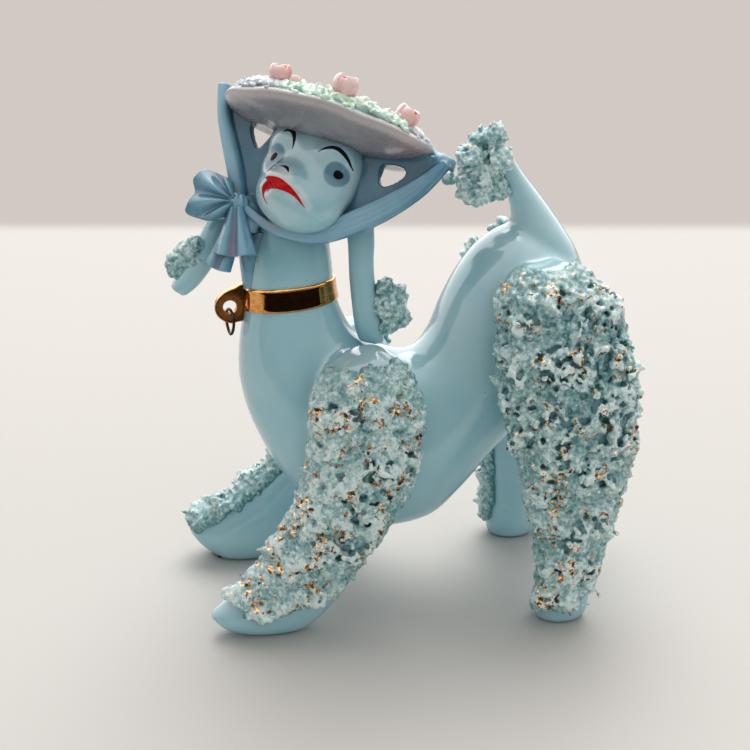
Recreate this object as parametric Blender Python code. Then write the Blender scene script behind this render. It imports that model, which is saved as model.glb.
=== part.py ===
"""Glazed ceramic poodle figurine in a tied sun hat.

The dog faces -X, its left side is -Y, and the table is the plane z = 0.
The origin lies on the table under the middle of the figurine.
Every length below is in millimetres and becomes metres when a mesh is made.

The hollow slip-cast body, the head, limbs, ears and trimmings are separate
castings.  A small gap stands for the luted seam between each pair.
"""
import math

import bmesh
import bpy
from mathutils import Matrix, Vector, noise

MM = 0.001
SEAM = 0.3              # gap left at every luted seam
WALL = 3.0              # wall of the slip-cast body
VENT_RADIUS = 1.6       # firing vent in the belly

# ---------------------------------------------------------------- body profile
# Each row: belly x, belly z, back x, back z, half width.
TORSO_ROWS = [
    (-33.5, 95.0, -17.5, 98.0, 8.0),
    (-35.5, 88.0, -16.5, 91.5, 9.6),
    (-36.0, 80.5, -15.7, 84.0, 10.0),
    (-36.3, 73.5, -15.0, 77.0, 10.6),
    (-37.6, 66.0, -13.2, 71.5, 11.8),
    (-37.8, 56.0, -10.5, 66.8, 13.6),
    (-34.5, 44.0, -6.5, 63.8, 15.2),
    (-26.0, 29.0, -2.5, 62.0, 15.8),
    (-10.0, 17.5, 1.5, 61.2, 15.2),
    (6.0, 17.8, 4.8, 62.2, 14.2),
    (15.5, 25.5, 7.8, 66.5, 13.2),
    (22.0, 33.0, 10.3, 73.0, 13.0),
    (29.0, 40.0, 14.3, 80.6, 13.8),
    (38.0, 46.0, 19.5, 86.8, 14.6),
    (46.5, 56.0, 26.0, 90.5, 14.0),
    (49.0, 67.0, 32.5, 89.5, 10.5),
    (47.5, 74.5, 38.5, 86.5, 5.5),
]

# Each row: front x, front z, back x, back z, distance from the midplane, half width.
LEFT_FORELEG_ROWS = [
    (-14.0, 66.5, -7.0, 67.5, 14.5, 3.5),
    (-19.5, 63.0, -1.5, 63.5, 15.5, 7.0),
    (-22.4, 56.5, 2.6, 56.5, 17.0, 8.2),
    (-23.4, 48.0, 2.8, 47.5, 18.0, 8.2),
    (-24.2, 40.0, 0.8, 37.0, 18.6, 7.6),
    (-27.0, 31.5, -4.0, 26.5, 19.2, 6.8),
    (-32.2, 22.8, -10.4, 17.5, 19.7, 6.0),
    (-37.0, 15.6, -16.4, 9.4, 20.0, 5.6),
    (-40.6, 11.8, -22.0, 2.8, 20.0, 5.4),
    (-43.2, 9.8, -28.0, -0.8, 20.0, 5.2),
    (-46.0, 7.6, -37.0, -0.6, 20.0, 4.8),
    (-48.6, 5.2, -43.5, 1.0, 20.0, 3.2),
]
RIGHT_FORELEG_ROWS = [
    (-14.0, 64.0, -7.0, 65.0, 14.5, 3.5),
    (-19.5, 60.0, -1.5, 60.5, 15.5, 7.0),
    (-22.5, 53.0, 2.5, 53.0, 17.0, 8.6),
    (-22.5, 43.0, 3.5, 42.0, 18.0, 8.6),
    (-23.0, 34.0, 1.0, 30.5, 18.8, 7.8),
    (-26.5, 26.8, -6.0, 19.5, 19.6, 6.8),
    (-32.0, 21.3, -14.0, 11.0, 20.4, 6.0),
    (-37.5, 17.3, -21.5, 3.4, 21.0, 5.8),
    (-42.5, 14.3, -29.5, -1.4, 21.4, 5.6),
    (-47.0, 11.8, -39.0, -1.2, 21.6, 5.0),
    (-50.4, 9.2, -46.0, 3.2, 21.8, 3.4),
]
HIND_LEG_ROWS = [
    (27.0, 84.0, 37.0, 85.0, 13.0, 4.0),
    (22.5, 79.0, 43.0, 80.0, 14.5, 7.4),
    (20.8, 70.0, 48.6, 71.0, 16.2, 9.2),
    (21.0, 60.0, 51.2, 60.0, 17.6, 9.6),
    (22.4, 50.0, 51.8, 49.0, 19.0, 9.0),
    (25.0, 40.0, 50.6, 38.5, 20.4, 8.0),
    (27.4, 30.0, 47.8, 28.5, 21.6, 6.8),
    (29.0, 20.0, 45.0, 18.5, 22.6, 5.8),
    (29.6, 11.0, 43.0, 9.5, 23.4, 5.4),
    (28.4, 4.0, 42.2, 3.4, 24.0, 5.6),
    (29.2, -0.8, 41.0, -0.8, 24.0, 5.2),
]
TAIL_ROWS = [
    (27.5, 86.0, 47.0, 73.0, 0.0, 8.6),
    (27.0, 91.0, 43.0, 84.0, 0.0, 7.4),
    (26.4, 95.5, 38.6, 91.0, 0.0, 5.6),
    (25.4, 99.0, 34.2, 97.0, 0.0, 4.2),
    (23.8, 102.6, 29.6, 103.0, 0.0, 3.0),
    (21.6, 106.2, 26.4, 108.0, 0.0, 2.5),
    (19.4, 109.2, 23.0, 112.0, 0.0, 2.0),
]
LEFT_EAR_ROWS = [
    (-14.4, 102.0, -8.8, 103.5, 2.8, 2.0),
    (-13.2, 95.5, -6.8, 97.5, 3.8, 2.4),
    (-12.6, 88.0, -6.4, 90.6, 4.8, 2.6),
    (-12.4, 81.0, -6.6, 84.0, 5.0, 2.8),
    (-11.8, 74.5, -6.0, 77.0, 5.0, 3.1),
    (-11.2, 69.5, -4.6, 70.2, 5.0, 3.2),
    (-10.2, 66.0, -4.2, 65.0, 5.0, 2.8),
]
RIGHT_EAR_ROWS = [
    (-35.5, 105.0, -30.5, 102.0, -9.4, 2.0),
    (-39.6, 100.0, -34.4, 96.8, -8.4, 2.4),
    (-43.4, 94.2, -38.0, 91.4, -6.4, 2.6),
    (-47.4, 87.4, -41.8, 84.6, -4.4, 2.8),
    (-51.2, 81.8, -46.0, 79.2, -3.4, 3.0),
    (-53.0, 78.6, -49.6, 76.4, -3.0, 2.4),
]

# ------------------------------------------------------------------- fur trims
# name: first row share, last row share, thickness, then the first and last
# angle at the top and at the bottom.  Angles run round a leg from its back edge
# over the outer face to its front edge.
LEG_FUR = {
    "left_foreleg": (0.10, 0.90, 3.0, -24.0, -168.0, -52.0, -186.0),
    "right_foreleg": (0.12, 0.92, 3.0, -24.0, -170.0, -10.0, -206.0),
    "left_hind_leg": (0.03, 0.84, 3.4, 6.0, -186.0, 6.0, -146.0),
    "right_hind_leg": (0.03, 0.90, 3.4, 6.0, -200.0, 6.0, -196.0),
}
FUR_ANGLES = 11         # points across a trim
FUR_LUMP = 1.1          # height of the clay crumbs on a trim
FUR_GRAIN = 3.4         # spacing of the clay crumbs

# name: centre, radii
TUFTS = {
    "left_ear_tuft": ((-3.6, -6.0, 74.6), (5.0, 4.6, 7.0)),
    "right_ear_tuft": ((-49.7, 3.2, 86.4), (4.8, 4.4, 5.2)),
    "tail_tuft": ((18.4, 0.0, 104.6), (8.4, 8.4, 9.4)),
}

# ---------------------------------------------------------------- head and hat
HEAD_CENTRE = (-21.0, -3.0, 105.0)
HEAD_YAW = -28.0        # the dog looks over its left shoulder
HEAD_PITCH = 24.0       # and upwards
HEAD_ROLL = 14.0        # with the head tipped to its left
# Ellipsoids of the head: side, forward, up centre; side, forward, up radius.
HEAD_BALLS = [
    (0.0, -1.0, 2.0, 12.0, 11.5, 12.5),
    (0.0, 4.0, -5.5, 9.6, 9.8, 8.8),
    (-0.4, 8.0, 0.2, 6.2, 8.6, 5.4),
    (-5.5, 5.0, 5.0, 4.6, 6.0, 4.6),
    (5.5, 5.0, 5.0, 4.6, 6.0, 4.6),
]
HEAD_BLEND = 12.0       # sharpness of the blend between those ellipsoids

HAT_CENTRE = (0.5, -1.0, 10.2)
HAT_LEAN = 4.0          # the hat sits pushed back
HAT_ROLL = -5.0         # and nearly level across the head
HAT_RADIUS = 25.0
# Cross section of the hat: share of the radius, height above the hat centre.
HAT_PROFILE = [
    (0.00, -3.2), (0.42, -3.0), (0.72, -1.9), (0.93, -0.2),
    (1.00, 1.4), (0.95, 2.8), (0.80, 3.9), (0.50, 5.8), (0.22, 6.9), (0.00, 7.2),
]
RIBBON_REACH = 30.0     # half length of the ribbon across the hat
RIBBON_WIDTH = 8.0
RIBBON_SET_BACK = 2.5
RIBBON_THICK = 1.3

# Outlines of the bonnet scarf in the head's side-up plane, with their holes.
SCARF_THICK = 5.0
SCARF_RIGHT_OUTLINE = [
    (-29.0, 13.0), (-28.0, 8.0), (-23.2, 1.0), (-18.4, -5.4), (-15.6, -10.4),
    (-13.0, -13.6), (-9.0, -15.4), (-9.0, 12.6), (-20.0, 13.0),
]
SCARF_RIGHT_HOLE = (-15.4, 4.6, 2.3, 3.0)
SCARF_LEFT_OUTLINE = [
    (30.0, 13.0), (28.0, 7.6), (22.4, 1.2), (19.0, -4.2), (13.4, -8.4),
    (8.0, -12.6), (0.4, -16.2), (-4.6, -16.6), (-8.6, -15.6), (-8.6, -10.8),
    (-3.0, -10.0), (4.0, -8.0), (9.0, -2.0), (9.0, 12.6), (20.0, 13.0),
]
SCARF_LEFT_HOLE = (18.2, 6.4, 2.6, 2.4)

# Rose heads on the hat: side, forward, height, radius.
ROSES = {
    "rose_right": (-7.5, 19.4, 6.4, 2.3),
    "rose_middle": (7.5, 19.4, 6.8, 2.8),
    "rose_left": (19.2, 8.0, 6.0, 2.6),
    "rose_bud": (-3.4, 20.4, 5.6, 1.3),
}
# Leaf and blossom clumps: arc from, arc to in degrees round the hat, radius.
CLUMPS = {
    "hat_leaves": (30.0, 100.0, 2.0),
    "blossoms_right": (106.0, 142.0, 1.8),
    "blossoms_left": (6.0, 20.0, 1.6),
}

# --------------------------------------------------------------- bow and collar
BOW_CENTRE = (-12.0, 4.8, -11.3)
BOW_KNOT_RADII = (2.2, 1.9, 2.4)
BOW_LOOP_REACH = 11.8
BOW_LOOP_ANGLES = (132.0, 228.0)
BOW_SHEET = 1.7
BOW_PLEAT = 0.7
BOW_SWELL = 1.2

# Ribbon end on the throat: body rows it spans, middle angle, spread in degrees.
RIBBON_END_ROWS = (0.9, 2.2)
RIBBON_END_ANGLE = 164.0
RIBBON_END_SPREAD = 60.0
RIBBON_END_THICK = 2.2  # at the top; it thins to half at the collar

COLLAR_ROW = 2.74       # mean place of the collar along the torso rows
COLLAR_LEFT_RISE = 0.2  # rows the collar climbs at the dog's left
COLLAR_BACK_RISE = 0.1  # rows the collar climbs at the nape
COLLAR_HEIGHT = 5.4
COLLAR_THICK = 0.9
COLLAR_AROUND = 30

LUG_THICK = 2.0
LUG_HOLE = (-39.7, 74.2)
LUG_HOLE_RADIUS = 1.6
LUG_OUTLINE = [
    (-36.9, 79.0), (-38.6, 78.7), (-40.8, 77.8), (-42.5, 76.2), (-43.2, 74.4),
    (-42.9, 72.6), (-41.6, 71.1), (-39.8, 70.3), (-38.2, 70.6), (-37.4, 72.0),
]

RING_WIRE = 0.35        # wire radius
RING_HALF_WIDTH = 2.3
RING_HALF_HEIGHT = 3.0
RING_DROP = 0.75        # wire centre below the hole centre
RING_OPENING = 16.0     # degrees left open between the wire ends

AROUND = 20             # facets round the body and limbs

GLAZE = (0.26, 0.47, 0.50, 1.0)
MATERIALS = {
    "glaze": (GLAZE, 0.12, 0.0),
    "scarf_glaze": ((0.09, 0.24, 0.32, 1.0), 0.12, 0.0),
    "hat_glaze": ((0.36, 0.34, 0.38, 1.0), 0.18, 0.0),
    "rose_clay": ((0.83, 0.46, 0.44, 1.0), 0.30, 0.0),
    "leaf_clay": ((0.42, 0.64, 0.50, 1.0), 0.35, 0.0),
    "blossom_clay": ((0.45, 0.50, 0.60, 1.0), 0.35, 0.0),
    "fur_clay": ((0.27, 0.43, 0.43, 1.0), 0.35, 0.0),
    "gold_lustre": ((0.60, 0.30, 0.08, 1.0), 0.12, 1.0),
    "dark_wire": ((0.05, 0.04, 0.04, 1.0), 0.40, 1.0),
}


# ------------------------------------------------------------------- utilities
def clear_scene():
    """Remove every object that is already in the scene."""
    for obj in list(bpy.data.objects):
        bpy.data.objects.remove(obj, do_unlink=True)


def make_material(name):
    """Principled material from the table above."""
    colour, roughness, metallic = MATERIALS[name]
    material = bpy.data.materials.new(name)
    material.use_nodes = True
    shader = material.node_tree.nodes["Principled BSDF"]
    shader.inputs["Base Color"].default_value = colour
    shader.inputs["Roughness"].default_value = roughness
    shader.inputs["Metallic"].default_value = metallic
    material.diffuse_color = colour
    return material


def add_object(name, points, faces, material, smooth=True):
    """Closed mesh object from points in millimetres."""
    mesh = bpy.data.meshes.new(name)
    mesh.from_pydata([Vector(point) * MM for point in points], [], faces)
    work = bmesh.new()
    work.from_mesh(mesh)
    bmesh.ops.remove_doubles(work, verts=work.verts, dist=0.01 * MM)
    bmesh.ops.recalc_face_normals(work, faces=work.faces)
    work.to_mesh(mesh)
    work.free()
    obj = bpy.data.objects.new(name, mesh)
    bpy.context.collection.objects.link(obj)
    mesh.materials.append(material)
    if smooth:
        mesh.shade_smooth()
        mesh.set_sharp_from_angle(angle=math.radians(45.0))
    return obj


def resample(rows, count):
    """Rows of numbers read off a Catmull-Rom curve, evenly in row number."""
    last = len(rows) - 1
    result = []
    for step in range(count):
        place = last * step / (count - 1)
        start = min(int(place), last - 1)
        t = place - start
        p0 = rows[max(start - 1, 0)]
        p1 = rows[start]
        p2 = rows[start + 1]
        p3 = rows[min(start + 2, last)]
        result.append(tuple(
            0.5 * (2 * b + (c - a) * t + (2 * a - 5 * b + 4 * c - d) * t * t
                   + (3 * b - a - 3 * c + d) * t ** 3)
            for a, b, c, d in zip(p0, p1, p2, p3)))
    return result


def section(row, side, grow, angle):
    """Point on the ellipse of a body or limb row; 0 degrees is its back edge."""
    x_front, z_front, x_back, z_back, offset, half_width = row
    centre = Vector(((x_front + x_back) / 2, side * offset, (z_front + z_back) / 2))
    chord = Vector((x_back - x_front, 0.0, z_back - z_front))
    half = chord.length / 2 + grow
    turn = math.radians(angle)
    across = chord.normalized() * (half * math.cos(turn))
    outward = Vector((0.0, -side * (half_width + grow) * math.sin(turn), 0.0))
    return centre + across + outward


def flatten_sole(point):
    """Keep a point out of the table."""
    return Vector((point.x, point.y, max(point.z, 0.0)))


def loft(rings):
    """Points and faces of a closed tube through rings of equal length."""
    count = len(rings[0])
    points = [point for ring in rings for point in ring]
    faces = []
    for i in range(len(rings) - 1):
        for j in range(count):
            k = (j + 1) % count
            low = i * count
            high = low + count
            faces.append((low + j, low + k, high + k, high + j))
    for ring, base in ((rings[0], 0), (rings[-1], (len(rings) - 1) * count)):
        middle = sum(ring, Vector()) / count
        points.append(middle)
        for j in range(count):
            faces.append((base + j, base + (j + 1) % count, len(points) - 1))
    return points, faces


def limb(rows, count, side=1.0, grow=0.0, around=AROUND, sole=False):
    """Lofted limb or body through the rows."""
    rings = []
    for row in resample(rows, count):
        ring = [section(row, side, grow, 360.0 * j / around) for j in range(around)]
        if sole:
            ring = [flatten_sole(point) for point in ring]
        rings.append(ring)
    return loft(rings)


def slab(inner, outer):
    """Closed sheet between two grids of points."""
    rows = len(inner)
    cols = len(inner[0])
    points = [point for grid in (inner, outer) for line in grid for point in line]
    shift = rows * cols
    faces = []
    for i in range(rows - 1):
        for j in range(cols - 1):
            a = i * cols + j
            faces.append((a, a + 1, a + cols + 1, a + cols))
            faces.append((shift + a + cols, shift + a + cols + 1, shift + a + 1, shift + a))
    rim = [j for j in range(cols)]
    rim += [i * cols + cols - 1 for i in range(1, rows)]
    rim += [(rows - 1) * cols + j for j in range(cols - 2, -1, -1)]
    rim += [i * cols for i in range(rows - 2, 0, -1)]
    for a, b in zip(rim, rim[1:] + rim[:1]):
        faces.append((b, a, shift + a, shift + b))
    return points, faces


def sheet(grid, push):
    """Closed sheet whose two faces lie half a push either side of a grid."""
    inner = [[point - push / 2 for point in line] for line in grid]
    outer = [[point + push / 2 for point in line] for line in grid]
    return slab(inner, outer)


def crumb(point, grain, depth):
    """Signed lump height of the clay crumbs at a point."""
    return depth * noise.noise(Vector(point) / grain)


def ball_directions(segments, rings):
    """Directions over a sphere with the faces that join them."""
    directions = [Vector((0.0, 0.0, 1.0))]
    for i in range(1, rings):
        polar = math.pi * i / rings
        for j in range(segments):
            turn = 2 * math.pi * j / segments
            directions.append(Vector((
                math.sin(polar) * math.cos(turn),
                math.sin(polar) * math.sin(turn),
                math.cos(polar))))
    directions.append(Vector((0.0, 0.0, -1.0)))
    faces = []
    for j in range(segments):
        k = (j + 1) % segments
        faces.append((0, 1 + j, 1 + k))
        for i in range(rings - 2):
            low = 1 + i * segments
            high = low + segments
            faces.append((low + j, high + j, high + k, low + k))
        base = 1 + (rings - 2) * segments
        faces.append((base + j, len(directions) - 1, base + k))
    return directions, faces


def lumpy_ball(centre, radii, lump, grain, segments=13, rings=9):
    """Ellipsoid of crumbled clay."""
    directions, faces = ball_directions(segments, rings)
    points = []
    for direction in directions:
        point = Vector(centre) + Vector([r * d for r, d in zip(radii, direction)])
        points.append(point + direction * crumb(point, grain, lump))
    return points, faces


def head_frame():
    """Side, forward and up axes of the head."""
    yaw = math.radians(HEAD_YAW)
    pitch = math.radians(HEAD_PITCH)
    roll = math.radians(HEAD_ROLL)
    forward = Vector((
        math.sin(yaw) * math.cos(pitch), -math.cos(yaw) * math.cos(pitch), math.sin(pitch)))
    level = Vector((math.cos(yaw), math.sin(yaw), 0.0))
    upright = Vector((
        -math.sin(yaw) * math.sin(pitch), math.cos(yaw) * math.sin(pitch), math.cos(pitch)))
    side = level * math.cos(roll) - upright * math.sin(roll)
    up = upright * math.cos(roll) + level * math.sin(roll)
    return side, forward, up


def from_head(side, forward, up):
    """World point of a point given in the head's own axes."""
    axes = head_frame()
    return Vector(HEAD_CENTRE) + axes[0] * side + axes[1] * forward + axes[2] * up


def head_reach(direction):
    """Distance from the head centre to its skin along a local direction."""
    total = 0.0
    for cx, cy, cz, rx, ry, rz in HEAD_BALLS:
        d = Vector((direction.x / rx, direction.y / ry, direction.z / rz))
        c = Vector((cx / rx, cy / ry, cz / rz))
        a = d.dot(d)
        b = d.dot(c)
        inside = b * b - a * (c.dot(c) - 1.0)
        if inside > 0.0:
            reach = (b + math.sqrt(inside)) / a
            if reach > 0.0:
                total += reach ** HEAD_BLEND
    return total ** (1.0 / HEAD_BLEND)


def head_solid(grow=0.0, segments=22, rings=13):
    """Skin of the head."""
    directions, faces = ball_directions(segments, rings)
    points = [from_head(*(d * (head_reach(d) + grow))) for d in directions]
    return points, faces


def hat_height(share):
    """Height of the hat's upper face at a share of its radius."""
    upper = [(s, h) for s, h in HAT_PROFILE if h >= HAT_PROFILE[4][1]]
    upper.sort()
    for (s0, h0), (s1, h1) in zip(upper, upper[1:]):
        if share <= s1:
            return h0 + (h1 - h0) * (share - s0) / (s1 - s0)
    return upper[-1][1]


def from_hat(side, forward, height):
    """World point given from the hat centre in the hat's own axes."""
    lean = math.radians(HAT_LEAN)
    roll = math.radians(HAT_ROLL)
    across = side * math.cos(roll) + height * math.sin(roll)
    rise = height * math.cos(roll) - side * math.sin(roll)
    ahead = forward * math.cos(lean) - rise * math.sin(lean)
    lift = rise * math.cos(lean) + forward * math.sin(lean)
    return from_head(HAT_CENTRE[0] + across, HAT_CENTRE[1] + ahead, HAT_CENTRE[2] + lift)


def hat_solid(grow=0.0, around=30):
    """Shallow domed sun hat."""
    middle = HAT_PROFILE[4][1]
    rings = []
    for share, height in HAT_PROFILE[1:-1]:
        radius = share * HAT_RADIUS + grow
        lift = height + (grow if height > middle else -grow)
        rings.append([
            from_hat(radius * math.cos(turn), radius * math.sin(turn), lift)
            for turn in (2 * math.pi * j / around for j in range(around))])
    return loft(rings)


def plate(outline, hole, thickness, place):
    """Plate with an outline and an oval hole, placed by a function."""
    work = bmesh.new()
    loops = [outline]
    if hole:
        cx, cy, rx, ry = hole
        turns = [2 * math.pi * j / 14 for j in range(14)]
        loops.append([(cx + rx * math.cos(t), cy + ry * math.sin(t)) for t in turns])
    edges = []
    for loop in loops:
        verts = [work.verts.new((x, y, 0.0)) for x, y in loop]
        edges += [work.edges.new(pair) for pair in zip(verts, verts[1:] + verts[:1])]
    filled = bmesh.ops.triangle_fill(work, edges=edges, use_beauty=True)
    flat = [item for item in filled["geom"] if isinstance(item, bmesh.types.BMFace)]
    raised = bmesh.ops.extrude_face_region(work, geom=flat, use_keep_orig=True)
    for item in raised["geom"]:
        if isinstance(item, bmesh.types.BMVert):
            item.co.z = thickness
    work.verts.index_update()
    points = [place(v.co.x, v.co.y, v.co.z - thickness / 2) for v in work.verts]
    faces = [[v.index for v in face.verts] for face in work.faces]
    work.free()
    return points, faces


# ------------------------------------------------------------------ the pieces
MODELS = {}
CUTTERS = {}
PAINT = {}


def piece(name, shape, paint, smooth=True):
    """Add one named piece of the figurine."""
    points, faces = shape
    MODELS[name] = add_object(name, points, faces, PAINT[paint], smooth)
    return MODELS[name]


def cutter(name, shape):
    """Add a hidden solid that only serves to cut other pieces."""
    points, faces = shape
    obj = add_object("cut_" + name, points, faces, PAINT["glaze"], False)
    obj.hide_render = True
    obj.display_type = "WIRE"
    CUTTERS[name] = obj
    return obj


def cut(name, *others):
    """Take the shapes of other cutters out of a piece."""
    for other in others:
        modifier = MODELS[name].modifiers.new("less_" + other, "BOOLEAN")
        modifier.operation = "DIFFERENCE"
        modifier.solver = "EXACT"
        modifier.object = CUTTERS[other]


def torso_rows():
    """Body rows with the midplane offset that limbs also carry."""
    return [(a, b, c, d, 0.0, w) for a, b, c, d, w in TORSO_ROWS]


def build_torso():
    """Hollow body and neck with its firing vent."""
    rows = torso_rows()
    piece("torso", limb(rows, 26), "glaze")
    cutter("torso", limb(rows, 26, grow=SEAM))
    cutter("hollow", limb(rows[2:-2], 14, grow=-WALL, around=12))
    belly = Vector((8.0, 0.0, 17.5))
    upward = Vector((-0.25, 0.0, 0.97)).normalized()
    rings = []
    for height in (-6.0, 8.0):
        middle = belly + upward * height
        across = upward.cross(Vector((0.0, 1.0, 0.0)))
        rings.append([
            middle + across * (VENT_RADIUS * math.cos(t)) + Vector((0, VENT_RADIUS * math.sin(t), 0))
            for t in (2 * math.pi * j / 16 for j in range(16))])
    cutter("vent", loft(rings))
    cut("torso", "hollow", "vent")


def build_fur(name, rows, count, side):
    """Crumbled clay trim on the outer face of one leg."""
    first, last, thickness, top_from, top_to, low_from, low_to = LEG_FUR[name]
    sampled = resample(rows, count)
    start = round(first * (count - 1))
    stop = round(last * (count - 1))
    inner = []
    outer = []
    for i in range(start, stop + 1):
        down = (i - start) / (stop - start)
        angle_from = top_from + (low_from - top_from) * down
        angle_to = top_to + (low_to - top_to) * down
        below = []
        above = []
        for j in range(FUR_ANGLES):
            angle = angle_from + (angle_to - angle_from) * j / (FUR_ANGLES - 1)
            edge = min(i - start, stop - i, j, FUR_ANGLES - 1 - j)
            share = (0.45, 0.85, 1.0)[min(edge, 2)]
            base = section(sampled[i], side, SEAM, angle)
            depth = thickness * share + crumb(base, FUR_GRAIN, 2.0 * FUR_LUMP * share)
            top = section(sampled[i], side, SEAM + max(depth, 0.8), angle)
            below.append(flatten_sole(base))
            above.append(Vector((top.x, top.y, max(top.z, 0.6))))
        inner.append(below)
        outer.append(above)
    piece(name + "_fur", slab(inner, outer), "fur_clay", smooth=False)


def build_legs():
    """Four legs with their trims."""
    plans = (
        ("left_foreleg", LEFT_FORELEG_ROWS, -1.0),
        ("right_foreleg", RIGHT_FORELEG_ROWS, 1.0),
        ("left_hind_leg", HIND_LEG_ROWS, -1.0),
        ("right_hind_leg", HIND_LEG_ROWS, 1.0),
    )
    count = 12
    for name, rows, side in plans:
        piece(name, limb(rows, count, side, sole=True), "glaze")
        cut(name, "torso")
        build_fur(name, rows, count, side)
        cut(name + "_fur", "torso")


def build_tail_and_ears():
    """Tail, both ears and their clay tufts."""
    plans = (
        ("tail", TAIL_ROWS, 9, 1.0, "tail_tuft"),
        ("left_ear", LEFT_EAR_ROWS, 9, -1.0, "left_ear_tuft"),
        ("right_ear", RIGHT_EAR_ROWS, 8, -1.0, "right_ear_tuft"),
    )
    for name, rows, count, side, tuft in plans:
        piece(name, limb(rows, count, side, around=14), "glaze")
        cutter(name, limb(rows, count, side, grow=SEAM, around=14))
        cut(name, "torso")
        centre, radii = TUFTS[tuft]
        piece(tuft, lumpy_ball(centre, radii, FUR_LUMP, FUR_GRAIN), "fur_clay", smooth=False)
        cut(tuft, name)
    cut("left_ear_tuft", "torso")


def build_head():
    """Head, hat and the flowers on the hat."""
    piece("head", head_solid(), "glaze")
    cut("head", "torso")
    cutter("head", head_solid(grow=1.5 * SEAM))
    piece("hat", hat_solid(), "hat_glaze")
    cutter("hat", hat_solid(grow=SEAM))
    cut("hat", "head")
    for name, (side, forward, height, radius) in ROSES.items():
        centre = from_hat(side, forward, height)
        shape = lumpy_ball(centre, (radius, radius, radius), 0.3 * radius, 1.6, 10, 7)
        piece(name, shape, "rose_clay")
        cutter(name, lumpy_ball(
            centre, [radius + SEAM] * 3, 0.3 * radius, 1.6, 10, 7))
        cut(name, "hat")
    for name, (start, stop, radius) in CLUMPS.items():
        steps = max(4, round((stop - start) / 6.0))
        rings = []
        for i in range(steps + 1):
            arc = math.radians(start + (stop - start) * i / steps)
            taper = math.sin(math.pi * (0.12 + 0.76 * i / steps)) ** 0.5
            ring = []
            for j in range(8):
                turn = 2 * math.pi * j / 8
                base = 0.86 * HAT_RADIUS + 1.6 * radius * taper * math.cos(turn)
                rise = hat_height(0.86) + 0.4 + radius * taper * math.sin(turn)
                point = from_hat(base * math.cos(arc), base * math.sin(arc), rise)
                ring.append(point + Vector((0.0, 0.0, crumb(point, 2.2, 0.8))))
            rings.append(ring)
        paint = "leaf_clay" if name == "hat_leaves" else "blossom_clay"
        piece(name, loft(rings), paint, smooth=False)
        cut(name, "hat", *ROSES)


def build_hat_ribbon():
    """Ribbon laid across the hat from corner to corner."""
    grid = []
    for i in range(21):
        side = RIBBON_REACH * (2.0 * i / 20 - 1.0)
        share = min(abs(side) / HAT_RADIUS, 1.0)
        beyond = max(abs(side) - 0.94 * HAT_RADIUS, 0.0)
        width = RIBBON_WIDTH * (1.0 - 0.5 * min(abs(side) / RIBBON_REACH, 1.0) ** 3)
        line = []
        for j in range(3):
            forward = width * (j / 2 - 0.5) - RIBBON_SET_BACK
            height = hat_height(share) + SEAM + 0.8 * RIBBON_THICK - 0.15 * beyond
            line.append(from_hat(side, forward, height))
        grid.append(line)
    upright = head_frame()[2]
    piece("hat_ribbon", sheet(grid, upright * RIBBON_THICK), "scarf_glaze")
    cut("hat_ribbon", "hat")
    cutter("hat_ribbon", sheet(grid, upright * (RIBBON_THICK + 2.0 * SEAM)))
    for name in CLUMPS:
        cut(name, "hat_ribbon")


def build_scarf():
    """Bonnet scarf, the ribbon over the hat and the bow."""
    def in_head(side, up, depth):
        return from_head(side, 0.5 - depth, up)

    build_hat_ribbon()
    piece("scarf_right", plate(SCARF_RIGHT_OUTLINE, SCARF_RIGHT_HOLE, SCARF_THICK, in_head),
          "scarf_glaze", smooth=False)
    piece("scarf_left", plate(SCARF_LEFT_OUTLINE, SCARF_LEFT_HOLE, SCARF_THICK, in_head),
          "scarf_glaze", smooth=False)
    for name in ("scarf_right", "scarf_left"):
        cut(name, "head", "hat", "torso", "hat_ribbon")


def build_ribbon_end():
    """Ribbon end that lies on the throat down to the collar."""
    first, last = RIBBON_END_ROWS
    count = 61
    dense = resample(torso_rows(), count)
    last_row = len(TORSO_ROWS) - 1
    inner = []
    outer = []
    for i in range(7):
        down = i / 6
        level = dense[round((first + (last - first) * down) / last_row * (count - 1))]
        below = []
        above = []
        thick = RIBBON_END_THICK * (1.0 - 0.5 * down)
        for j in range(5):
            spread = RIBBON_END_SPREAD * (1.0 - 0.6 * down) * (j / 4 - 0.5)
            angle = RIBBON_END_ANGLE + spread
            below.append(section(level, 1.0, SEAM, angle))
            above.append(section(level, 1.0, SEAM + thick, angle))
        inner.append(below)
        outer.append(above)
    piece("ribbon_end", slab(inner, outer), "scarf_glaze")
    cut("ribbon_end", "head")


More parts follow.
